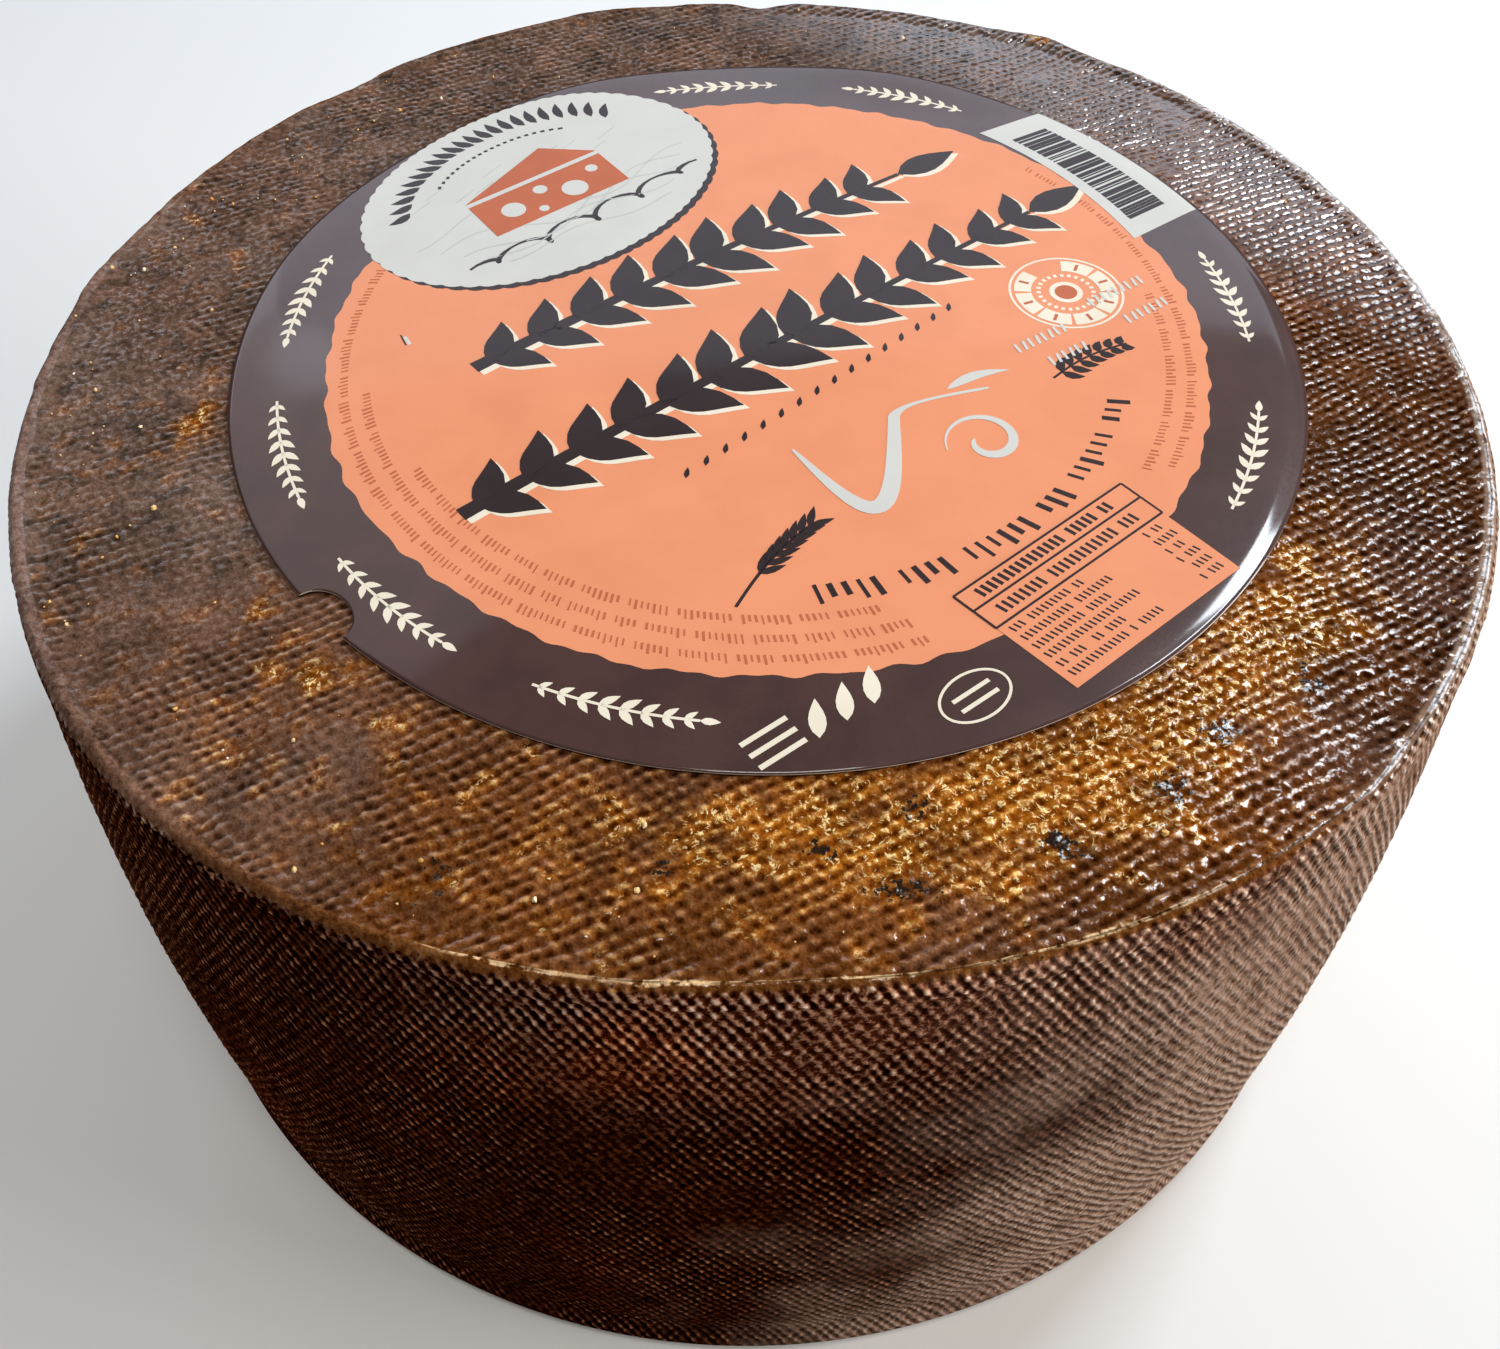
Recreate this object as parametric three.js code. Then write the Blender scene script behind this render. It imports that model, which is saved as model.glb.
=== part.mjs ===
// A whole wheel of aged sheep's milk cheese with a round paper label on its top face.
// The wheel was pressed in a mould lined with cloth: its side bulges a little, a rounded lip runs round the
// top edge, a softer one round the bottom, and nothing about it is quite round or quite upright.
// Millimetres, +Z up, the origin on the floor under the middle of the wheel, +Y away from the viewer.
import * as THREE from 'three';

// Driving dimensions of the wheel
const rimRadius = 96.5;        // from the middle to the outside of the top lip
const wheelHeight = 96.5;      // from the floor to the crest of the top lip
const sideFlare = 1.0;         // how much wider the base is than the top
const sideBulge = 2.15;        // how far the side swells at half height
const faceRecess = 0.5;        // the top face lies this far below the crest
const crestWidth = 1.6;        // from the outside of the lip to its crest
const lipDrop = 2.4;           // from the crest down to the lower edge of the lip
const lipOut = 0.35;           // the lip stands this far out of the side
const lipTuck = 0.5;           // the side meets the lip this far below the lip's lower edge
const crestSlope = { start: 1.2, end: 2.6, drop: 0.15 };   // inward from the crest down to the top face
const topGroove = { below: 5.5, deep: 0.15, high: 2.6 };
const baseGroove = { above: 8.5, deep: 0.35, high: 3.0 };
const baseLip = { above: 3.4, top: 5.5, out: 0.45, high: 2.4 };
const baseRound = { high: 2.9, deep: 4.4 };
const lean = { x: 1.0, y: 2.6 };   // the top sits this far to the right of the base and behind it

// Waves that make the outline uneven: how many go round, their size, and the angle of a crest
const rimWaves = [
  { count: 2, size: 0.20, crest: 62 },
  { count: 3, size: 0.52, crest: -28 },
  { count: 4, size: 0.46, crest: 45 },
  { count: 5, size: 0.16, crest: 26 },
  { count: 6, size: 0.19, crest: -3 },
];
const baseWaves = [
  { count: 2, size: 0.15, crest: 90 },
  { count: 4, size: 0.31, crest: 45 },
];

// Chips and knocks in the top lip: where round the rim, how wide, and how far out and up the lip is moved
const rimKnocks = [
  { angle: 57, wide: 5.5, out: 1.1, up: 0.35 },
  { angle: 89, wide: 3.6, out: -1.0, up: -0.7 },
  { angle: 107, wide: 9.0, out: 0.7, up: 0.25 },
  { angle: 136, wide: 7.0, out: -0.6, up: -0.3 },
  { angle: 172, wide: 6.0, out: 0.3, up: 0.4 },
  { angle: -88, wide: 9.0, out: -0.5, up: 0.0 },
  { angle: -50, wide: 6.0, out: 0.5, up: -0.2 },
];
const knockReach = { inward: 4, down: 5 };

// Driving dimensions of the label
const labelRadius = 71.6;
const labelOffset = 1.96;      // its middle lies this far to the right of the middle of the top face
const labelThickness = 0.25;
const labelGap = 0.3;          // clear of the top face
const labelNotch = { angle: -135, wide: 8.8, deep: 3.3 };
// Places near its edge where the paper has come up: where, how wide, how far in from the edge, and how high
const labelLifts = [
  { angle: 116, wide: 17, reach: 7, up: 0.9 },
  { angle: 71, wide: 15, reach: 6, up: 0.8 },
  { angle: 168, wide: 20, reach: 6, up: 0.5 },
];

// How finely the surfaces are divided
const wheelTurns = 144;
const sideSteps = 11;
const sideMargin = { low: 5, high: 3 };   // the even steps up the side keep this far from the grooves
const roundSteps = 4;
const baseRing = 0.5;                     // rings on the flat faces, as shares of their radius
const faceRings = [0.78, 0.4];
const labelTurns = 120;
const labelRings = [0.45, 0.8, 0.93, 1];  // as shares of its radius
const notchSteps = [-1, -0.97, -0.85, -0.6, -0.3, 0, 0.3, 0.6, 0.85, 0.97, 1];   // as shares of half its width
const notchClear = 1.2;                   // the even steps keep this many half widths away from it

const radians = THREE.MathUtils.degToRad;
const bell = (distance, width) => Math.exp(-((distance / width) ** 2));

// The shorter way round from one angle to another, in degrees
function turnBetween(from, to) {
  return THREE.MathUtils.euclideanModulo(to - from + 180, 360) - 180;
}

// The sum of the outline's waves at an angle
function waviness(waves, angle) {
  return waves.reduce((sum, w) => sum + w.size * Math.cos(w.count * radians(angle - w.crest)), 0);
}

// Radius of the wheel's side at a height: a slight flare, a swell, and a groove behind each lip
function sideRadius(height) {
  const depth = 1 - height / wheelHeight;
  const swell = sideFlare * depth + sideBulge * Math.sin(Math.PI * depth);
  const grooves = topGroove.deep * bell(wheelHeight - topGroove.below - height, topGroove.high)
    + baseGroove.deep * bell(baseGroove.above - height, baseGroove.high);
  const foot = baseLip.out * bell(baseLip.above - height, baseLip.high);
  return rimRadius - lipOut + swell - grooves + foot;
}

// The wheel's section from the middle of the base, out round the side and back to the middle of the top
function wheelSection() {
  const section = [];
  const baseEdge = sideRadius(baseRound.high) - baseRound.deep;
  section.push([baseRing * baseEdge, 0]);
  for (let i = 0; i <= roundSteps; i++) {
    const turn = (Math.PI / 2) * (i / roundSteps);
    section.push([baseEdge + baseRound.deep * Math.sin(turn), baseRound.high * (1 - Math.cos(turn))]);
  }
  const underLip = wheelHeight - lipDrop;
  const sideFrom = baseGroove.above + sideMargin.low;
  const sideTo = wheelHeight - topGroove.below - sideMargin.high;
  const sideStep = (sideTo - sideFrom) / sideSteps;
  const even = Array.from({ length: sideSteps + 1 }, (_, i) => sideFrom + sideStep * i);
  const heights = [baseLip.top, baseGroove.above, ...even, wheelHeight - topGroove.below, underLip - lipTuck];
  section.push(...heights.map((height) => [sideRadius(height), height]));
  for (let i = 0; i <= roundSteps; i++) {
    const turn = (Math.PI / 2) * (i / roundSteps);
    section.push([rimRadius - crestWidth * (1 - Math.cos(turn)), underLip + lipDrop * Math.sin(turn)]);
  }
  const face = wheelHeight - faceRecess;
  const crest = rimRadius - crestWidth;
  section.push([crest - crestSlope.start, wheelHeight - crestSlope.drop], [crest - crestSlope.end, face]);
  section.push(...faceRings.map((share) => [share * rimRadius, face]));
  return section;
}

// A point of the section carried to an angle: uneven all round, leaning, with the knocks in its lip
function wheelPoint([radius, height], angle) {
  const depth = THREE.MathUtils.clamp(1 - height / wheelHeight, 0, 1);
  const uneven = THREE.MathUtils.lerp(waviness(rimWaves, angle), waviness(baseWaves, angle), depth);
  let out = radius * (1 + uneven / rimRadius);
  let up = height;
  const atLip = bell(rimRadius - radius, knockReach.inward) * bell(wheelHeight - height, knockReach.down);
  for (const knock of rimKnocks) {
    const near = atLip * bell(radians(turnBetween(knock.angle, angle)) * rimRadius, knock.wide);
    out += knock.out * near;
    up += knock.up * near;
  }
  const shift = 0.5 - depth;
  return [out * Math.cos(radians(angle)) + lean.x * shift, out * Math.sin(radians(angle)) + lean.y * shift, up];
}

// Closes rings of points, from the lowest to the highest, into one body with a fan at each end
function closedBody(rings, firstPole, lastPole) {
  const turns = rings[0].length;
  const positions = [...rings.flat(), firstPole, lastPole];
  const first = rings.length * turns;
  const last = first + 1;
  const faces = [];
  for (let j = 0; j < turns; j++) {
    const next = (j + 1) % turns;
    faces.push(first, next, j);
    for (let i = 0; i < rings.length - 1; i++) {
      const [a, b, c, d] = [i * turns + j, i * turns + next, (i + 1) * turns + next, (i + 1) * turns + j];
      faces.push(a, b, c, a, c, d);
    }
    faces.push((rings.length - 1) * turns + j, (rings.length - 1) * turns + next, last);
  }
  const geometry = new THREE.BufferGeometry();
  geometry.setAttribute('position', new THREE.Float32BufferAttribute(positions.flat(), 3));
  geometry.setIndex(faces);
  geometry.computeVertexNormals();
  return geometry;
}

function wheelGeometry() {
  const angles = Array.from({ length: wheelTurns }, (_, j) => (360 * j) / wheelTurns);
  const rings = wheelSection().map((point) => angles.map((angle) => wheelPoint(point, angle)));
  const face = wheelHeight - faceRecess;
  return closedBody(rings, [-0.5 * lean.x, -0.5 * lean.y, 0], [0.5 * lean.x, 0.5 * lean.y, face]);
}

// The label's outline is a circle with one rounded bite out of its edge
function labelEdge(angle) {
  const along = radians(turnBetween(labelNotch.angle, angle)) * labelRadius;
  const across = 1 - (along / (labelNotch.wide / 2)) ** 2;
  return labelRadius - (across > 0 ? labelNotch.deep * Math.sqrt(across) : 0);
}

// How far the paper has come up off the cheese, most at its edge
function labelRise(radius, angle) {
  return labelLifts.reduce((sum, lift) => {
    const across = bell(radians(turnBetween(lift.angle, angle)) * labelRadius, lift.wide);
    return sum + lift.up * across * bell(labelRadius - radius, lift.reach);
  }, 0);
}

// Angles round the label, closer together at the notch
function labelAngles() {
  const angles = Array.from({ length: labelTurns }, (_, j) => (360 * j) / labelTurns);
  const halfWidth = THREE.MathUtils.radToDeg(labelNotch.wide / 2 / labelRadius);
  const notch = notchSteps.map((share) => labelNotch.angle + 360 + halfWidth * share);
  const nearest = halfWidth * notchClear;
  const clear = angles.filter((angle) => Math.abs(turnBetween(labelNotch.angle, angle)) > nearest);
  return [...clear, ...notch].sort((a, b) => a - b);
}

function labelGeometry() {
  const angles = labelAngles();
  const under = wheelHeight - faceRecess + labelGap;
  const middle = [0.5 * lean.x + labelOffset, 0.5 * lean.y];
  const ring = (share, base) => angles.map((angle) => {
    const radius = share * labelEdge(angle);
    const [x, y] = [radius * Math.cos(radians(angle)), radius * Math.sin(radians(angle))];
    return [middle[0] + x, middle[1] + y, base + labelRise(radius, angle)];
  });
  const rings = [...labelRings.map((share) => ring(share, under)),
    ...labelRings.toReversed().map((share) => ring(share, under + labelThickness))];
  return closedBody(rings, [...middle, under], [...middle, under + labelThickness]);
}

const rindBrown = new THREE.MeshStandardMaterial({ color: 0x4a2c1c, roughness: 0.42, metalness: 0 });
const labelPaper = new THREE.MeshStandardMaterial({ color: 0xe8875f, roughness: 0.45, metalness: 0 });

const wheelShape = wheelGeometry();
const labelShape = labelGeometry();

// Both shapes move together so that the wheel's outer box is centred over the origin
wheelShape.computeBoundingBox();
const boxMiddle = wheelShape.boundingBox.getCenter(new THREE.Vector3());
wheelShape.translate(-boxMiddle.x, -boxMiddle.y, 0);
labelShape.translate(-boxMiddle.x, -boxMiddle.y, 0);

const wheel = new THREE.Mesh(wheelShape, rindBrown);
wheel.name = 'cheese_wheel';
const label = new THREE.Mesh(labelShape, labelPaper);
label.name = 'label';

const cheese = new THREE.Group();
cheese.add(wheel, label);

export default cheese;
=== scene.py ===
import math

import bpy
import numpy as np
from mathutils import Euler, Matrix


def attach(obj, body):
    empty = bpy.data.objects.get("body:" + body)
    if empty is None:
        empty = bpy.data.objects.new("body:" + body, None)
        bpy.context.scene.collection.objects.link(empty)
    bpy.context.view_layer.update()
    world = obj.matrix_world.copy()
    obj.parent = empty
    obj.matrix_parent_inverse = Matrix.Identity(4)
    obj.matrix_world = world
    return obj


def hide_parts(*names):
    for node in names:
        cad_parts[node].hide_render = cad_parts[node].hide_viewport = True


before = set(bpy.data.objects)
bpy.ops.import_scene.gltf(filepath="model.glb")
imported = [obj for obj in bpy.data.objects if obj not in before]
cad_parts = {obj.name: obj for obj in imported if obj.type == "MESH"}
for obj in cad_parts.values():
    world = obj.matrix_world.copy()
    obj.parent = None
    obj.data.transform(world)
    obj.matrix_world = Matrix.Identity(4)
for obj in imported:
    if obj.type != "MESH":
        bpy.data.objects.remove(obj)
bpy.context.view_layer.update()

# Sizes are in millimetres and angles in degrees; a mesh gets metres only when it is made.
# +X is to the viewer's right, +Y away from the viewer, and the wheel's base is at zero height.

wheel = {
    "rimRadius": 96.5,
    "height": 96.5,
    "sideFlare": 1.0,
    "sideBulge": 2.15,
    "faceRecess": 0.5,
    "crestWidth": 1.6,
    "lipDrop": 2.4,
    "lipOut": 0.35,
    "lipTuck": 0.5,
    "crestSlope": (1.2, 2.6, 0.15),      # where it starts and ends inward of the crest, and its first drop
    "topGroove": (91.0, 0.15, 2.6),      # height, depth, width
    "baseGroove": (8.5, 0.35, 3.0),
    "baseLip": (3.4, 0.45, 2.4),
    "baseRound": (2.9, 4.4),             # height, depth
    "lean": (1.0, 2.6),
    "rimWaves": ((2, 0.20, 62), (3, 0.52, -28), (4, 0.46, 45), (5, 0.16, 26), (6, 0.19, -3)),
    "baseWaves": ((2, 0.15, 90), (4, 0.31, 45)),
    "knocks": ((57, 5.5, 1.1, 0.35), (89, 3.6, -1.0, -0.7), (107, 9.0, 0.7, 0.25), (136, 7.0, -0.6, -0.3),
               (172, 6.0, 0.3, 0.4), (-88, 9.0, -0.5, 0.0), (-50, 6.0, 0.5, -0.2)),
    "knockReach": (4.0, 5.0),
    "centre": (0.067, -0.039),           # moves the wheel's outer box over the origin
}

cloth = {
    "columnsRound": 402,                 # bead pairs round the side
    "sideShares": (0.68, 0.32),          # how strong the side's falling and rising diagonals are
    "sideDeep": 0.3,                     # from a bead's top to the bottom of a gap
    "shake": 0.2,                        # how many cycles the side's beads stray
    "topRows": (-0.313, 0.614),          # cycles per millimetre of the strong rows on the top face
    "topCross": (0.434, 0.518),          # and of the weaker ones across them
    "topShares": (0.68, 0.32),
    "topDeep": 0.26,
    "clearance": 0.03,                   # everything stays this far inside the wheel's true surface
}


def bell(distance, width):
    # exp of minus the squared distance over the width
    return np.exp(-(distance / width) ** 2)


def turnBetween(start, end):
    # the shorter way round from one angle to the other, from -180 to 180
    return (end - start + 180) % 360 - 180


def smoothStep(value, low, high):
    # 0 below low, 1 above high, and t * t * (3 - 2 * t) between them
    t = np.clip((value - low) / (high - low), 0, 1)
    return t * t * (3 - 2 * t)


def gridNoise(points, size, seed):
    # each corner of a cubic grid gets a value from -1 to 1 hashed from its place, and in between they blend
    # by t * t * (3 - 2 * t) along each axis
    place = points / size
    cell = np.floor(place).astype(np.int64)
    t = place - cell
    t = t * t * (3 - 2 * t)
    total = np.zeros(place.shape[:-1])
    for corner in range(8):
        step = np.array([corner & 1, corner >> 1 & 1, corner >> 2 & 1])
        key = (cell + step) @ np.array([73856093, 19349663, 83492791]) + seed * 26544357
        key = (key ^ (key >> 13)) * 1274126177
        key = key ^ (key >> 16)
        weight = np.prod(np.where(step == 1, t, 1 - t), axis=-1)
        total += weight * ((key & 65535) / 32767.5 - 1)
    return total


def roughNoise(points, size, seed, octaves=3):
    # layers of grid noise, each half the size and half the strength of the one before
    layers = [gridNoise(points, size / 2 ** i, seed + i) * 0.5 ** i for i in range(octaves)]
    return sum(layers)


# The wheel's true surface

def waviness(waves, angle):
    # sum of size * cos(count * (angle - crest))
    return sum(size * np.cos(np.radians(count * (angle - crest))) for count, size, crest in waves)


def sideRadius(height):
    # a flare and half a sine of swell under the lip, less a groove at each lip, plus the foot's own lip
    depth = 1 - height / wheel["height"]
    swell = wheel["sideFlare"] * depth + wheel["sideBulge"] * np.sin(np.pi * depth)
    grooves = sum(deep * bell(at - height, wide)
                  for at, deep, wide in (wheel["topGroove"], wheel["baseGroove"]))
    at, out, wide = wheel["baseLip"]
    return wheel["rimRadius"] - wheel["lipOut"] + swell - grooves + out * bell(at - height, wide)


def wheelPoints(radius, height, angle):
    # a point of the section carried to an angle: waves all round, a lean with height, and the lip's knocks
    depth = np.clip(1 - height / wheel["height"], 0, 1)
    uneven = (1 - depth) * waviness(wheel["rimWaves"], angle) + depth * waviness(wheel["baseWaves"], angle)
    out = radius * (1 + uneven / wheel["rimRadius"])
    up = height + 0 * angle
    inward, down = wheel["knockReach"]
    atLip = bell(wheel["rimRadius"] - radius, inward) * bell(wheel["height"] - height, down)
    for knockAngle, wide, outBy, upBy in wheel["knocks"]:
        near = atLip * bell(np.radians(turnBetween(knockAngle, angle)) * wheel["rimRadius"], wide)
        out = out + outBy * near
        up = up + upBy * near
    shift = 0.5 - depth
    x = out * np.cos(np.radians(angle)) + wheel["lean"][0] * shift + wheel["centre"][0]
    y = out * np.sin(np.radians(angle)) + wheel["lean"][1] * shift + wheel["centre"][1]
    return np.stack([x, y, up], axis=-1)


def sectionNormals(radius, height):
    # the section's tangent turned a quarter outward, taken between each row's neighbours
    along = np.gradient(radius)
    rise = np.gradient(height)
    length = np.hypot(along, rise)
    return rise / length, -along / length


def carryRound(radius, height, angle, inward):
    # the section's rows carried round the angles, each point moved in along the section's normal
    outShare, upShare = sectionNormals(radius, height)
    points = wheelPoints(radius[:, None], height[:, None], angle)
    turn = np.radians(angle)
    normal = np.stack([outShare[:, None] * np.cos(turn), outShare[:, None] * np.sin(turn),
                       upShare[:, None] + 0 * turn], axis=-1)
    return points - normal * inward[..., None]


# Meshes

def gridQuads(rows, columns, closed=False, start=0):
    # quads between neighbouring rows and columns, joined back to the first column when closed
    index = start + np.arange(rows * columns).reshape(rows, columns)
    after = np.roll(index, -1, axis=1) if closed else index[:, 1:]
    before = index if closed else index[:, :-1]
    quads = np.stack([before[:-1], after[:-1], after[1:], before[1:]], axis=-1)
    return quads.reshape(-1, 4)


def halves(quads):
    # two triangles for each quad
    return np.concatenate([quads[:, [0, 1, 2]], quads[:, [0, 2, 3]]])


def addMesh(name, points, faces, uv=None, tone=None, faceMaterial=None, smooth=True):
    # points in millimetres; faces are arrays of quads or triangles; uv and tone are one row a point
    mesh = bpy.data.meshes.new(name)
    mesh.vertices.add(len(points))
    mesh.vertices.foreach_set("co", (points / 1000).astype(np.float32).ravel())
    sizes = np.concatenate([np.full(len(part), part.shape[1]) for part in faces])
    corners = np.concatenate([part.ravel() for part in faces]).astype(np.int32)
    mesh.loops.add(len(corners))
    mesh.loops.foreach_set("vertex_index", corners)
    mesh.polygons.add(len(sizes))
    mesh.polygons.foreach_set("loop_start", (np.cumsum(sizes) - sizes).astype(np.int32))
    mesh.polygons.foreach_set("use_smooth", np.full(len(sizes), smooth))
    if faceMaterial is not None:
        mesh.polygons.foreach_set("material_index", faceMaterial.astype(np.int32))
    if uv is not None:
        layer = mesh.uv_layers.new(name="UVMap")
        layer.data.foreach_set("uv", uv[corners].astype(np.float32).ravel())
    if tone is not None:
        layer = mesh.color_attributes.new(name="tone", type="FLOAT_COLOR", domain="POINT")
        layer.data.foreach_set("color", tone.astype(np.float32).ravel())
    mesh.update(calc_edges=True)
    mesh.validate()
    piece = bpy.data.objects.new(name, mesh)
    bpy.context.scene.collection.objects.link(piece)
    return piece


def dress(piece, node, slot, *materials):
    for material in materials:
        piece.data.materials.append(material)
    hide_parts(node)
    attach(piece, "root")


# Shader helpers

class Nodes:
    # a short way to write node trees: each call adds a node and returns its output
    def __init__(self, name):
        self.material = bpy.data.materials.new(name)
        self.material.use_nodes = True
        self.tree = self.material.node_tree
        self.shader = self.tree.nodes["Principled BSDF"]

    def put(self, socket, value):
        if isinstance(value, bpy.types.NodeSocket):
            self.tree.links.new(value, socket)
        else:
            socket.default_value = value

    def add(self, kind, output=0, settings=None, **inputs):
        made = self.tree.nodes.new(kind)
        for key, value in (settings or {}).items():
            setattr(made, key, value)
        for key, value in inputs.items():
            self.put(made.inputs[key.replace("_", " ")], value)
        return made.outputs[output]

    def maths(self, operation, first, second=0.0, third=0.0, clamp=False):
        made = self.tree.nodes.new("ShaderNodeMath")
        made.operation = operation
        made.use_clamp = clamp
        for socket, value in zip(made.inputs, (first, second, third)):
            self.put(socket, value)
        return made.outputs[0]

    def times(self, first, second):
        return self.maths("MULTIPLY", first, second)

    def plus(self, first, second):
        return self.maths("ADD", first, second)

    def most(self, first, second):
        return self.maths("MAXIMUM", first, second)

    def scaled(self, value, scale, added):
        return self.maths("MULTIPLY_ADD", value, scale, added)

    def centred(self, noise):
        return self.maths("SUBTRACT", noise, 0.5)

    def step(self, value, low, high, bottom=0.0, top=1.0):
        # bottom up to low, top from high on, and a smooth step between them
        return self.add("ShaderNodeMapRange", 0, {"interpolation_type": "SMOOTHSTEP"}, Value=value,
                        From_Min=low, From_Max=high, To_Min=bottom, To_Max=top)

    def mix(self, factor, first, second, blend="MIX"):
        made = self.tree.nodes.new("ShaderNodeMix")
        made.data_type = "RGBA"
        made.blend_type = blend
        self.put(made.inputs["Factor"], factor)
        self.put(made.inputs[6], first)
        self.put(made.inputs[7], second)
        return made.outputs[2]

    def tinted(self, color, tint):
        return self.mix(1.0, color, (*tint, 1), "MULTIPLY")

    def split(self, kind, value):
        made = self.tree.nodes.new(kind)
        self.put(made.inputs[0], value)
        return made.outputs

    def noise(self, place, scale, detail=2.0, distortion=0.0):
        return self.add("ShaderNodeTexNoise", Vector=place, Scale=scale, Detail=detail, Distortion=distortion)

    def bump(self, strength, distance, height):
        return self.add("ShaderNodeBump", Strength=strength, Distance=distance, Height=height)

    def ramp(self, value, low, high, *stops):
        # value from low to high run through evenly spaced colours
        share = self.add("ShaderNodeMapRange", Value=value, From_Min=low, From_Max=high)
        made = self.tree.nodes.new("ShaderNodeValToRGB")
        self.put(made.inputs[0], share)
        for i, color in enumerate(stops):
            place = i / (len(stops) - 1)
            stop = made.color_ramp.elements[i] if i < 2 else made.color_ramp.elements.new(place)
            stop.position = place
            stop.color = (*color, 1)
        return made.outputs[0]

    def finish(self, **values):
        # each value goes to the shader's socket of that name
        for key, value in values.items():
            self.put(self.shader.inputs[key.replace("_", " ")], value)
        return self.material


rindLook = {
    # colours from a gap's bottom to a bead's top: painted shade in the gaps, painted highlight on the tops
    "plain": ((0.030, 0.0062, 0.0007), (0.107, 0.031, 0.0065), (0.184, 0.066, 0.0208), (0.38, 0.170, 0.068)),
    # dust, and painted sheen towards the far left
    "dustAndSheen": ((0.042, 0.0212, 0.0117), (0.109, 0.065, 0.0450), (0.164, 0.101, 0.0750), (0.24, 0.165, 0.128)),
    "amber": ((0.072, 0.0135, 0.0006), (0.210, 0.052, 0.0032), (0.410, 0.142, 0.0125), (0.94, 0.510, 0.150)),
    "side": ((0.003, 0.0002, 0.0001), (0.020, 0.0028, 0.0004), (0.110, 0.026, 0.007), (0.45, 0.200, 0.095)),
    # painted highlight on the side's beads in front just under the lip
    "paintedLitBeads": ((0.009, 0.0005, 0.0001), (0.080, 0.0165, 0.0048), (0.540, 0.270, 0.160), (1.00, 0.780, 0.610)),
    # painted sheen on the side towards the right
    "paintedSheen": ((0.122, 0.0540, 0.0290), (0.307, 0.1860, 0.1280), (0.445, 0.314, 0.246), (0.58, 0.450, 0.368)),
    "lip": ((0.030, 0.008, 0.0015), (0.110, 0.034, 0.0065), (0.185, 0.068, 0.0170), (0.36, 0.170, 0.065)),
    "leftLip": ((0.060, 0.028, 0.0190), (0.165, 0.104, 0.0850), (0.240, 0.164, 0.1390), (0.50, 0.400, 0.360)),
    "fleck": (1.00, 0.76, 0.36, 1),
    # the crest line's painted highlight
    "crest": (0.80, 0.52, 0.27, 1),
    # painted sheen of the lip towards the right
    "paintedLipSheen": (0.40, 0.29, 0.22, 1),
    # the crest's painted reflection towards the right
    "rim": (0.82, 0.78, 0.79, 1),
    "crust": (0.022, 0.0110, 0.0055, 1),
    # tints that the colours are multiplied by
    "warmTint": (1.5, 1.0, 0.6),
    "darkTint": (0.42, 0.34, 0.30),
    "speckTint": (0.42, 0.48, 0.50),
    # painted shade, tinted bluish as a painted reflection
    "shadeTint": (0.56, 0.60, 0.78),
    "ruddyTint": (0.78, 0.48, 0.34),
}

# each noise's scale, detail and distortion
rindNoise = {
    "broad": (45, 3),
    "medium": (260, 4),
    "fine": (1150, 5),
    "grain": (3000, 3),
    "lumps": (640, 2),
    "mottle": (120, 5),
    "specks": (430, 3),
    "curls": (620, 2, 1.6),
}

# how the two rinds differ: how rough the colour is, the beads' share of the bump, and the coat of wax
rindFinish = {
    "side": {"shares": cloth["sideShares"], "crags": 2.4, "beads": 1.6, "coat": 0.02, "coatRoughness": 0.2},
    "top": {"shares": cloth["topShares"], "crags": 3.2, "beads": 0.9, "coat": 1.0, "coatRoughness": 0.08},
}


def sidePaint(n, height, axes, noises):
    # dark red-brown, with a painted highlight on the beads in front just under the lip, and a painted sheen
    # at the right, where 0.9 * x - 0.55 * y - 0.25 * z and broad noise add up to much
    x, y, z = axes
    color = n.ramp(height, -0.75, 1.35, *rindLook["side"])
    # painted highlight: the beads in front just under the lip are made lighter
    upper = n.times(n.step(z, 0.066, 0.093), n.step(x, -0.045, 0.0))
    upper = n.times(upper, n.step(n.scaled(noises["broad"], -0.05, y), 0.02, -0.04, 0.15, 1.0))
    color = n.mix(upper, color, n.ramp(height, -0.75, 1.35, *rindLook["paintedLitBeads"]))
    color = n.mix(n.step(noises["broad"], 0.5, 0.72, 0.0, 0.7), color, n.tinted(color, rindLook["warmTint"]))
    # painted sheen: lighter and greyer towards the right, the front and the foot
    across = n.scaled(z, -0.25, n.scaled(y, -0.55, n.times(x, 0.9)))
    across = n.scaled(noises["broad"], 0.08, across)
    paintedSheen = n.ramp(height, -0.9, 1.35, *rindLook["paintedSheen"])
    color = n.mix(n.step(across, 0.080, 0.124, 0.0, 0.95), color, paintedSheen)
    return n.mix(n.step(noises["medium"], 0.5, 0.68, 0.0, 0.6), color, n.tinted(color, rindLook["darkTint"]))


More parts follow.
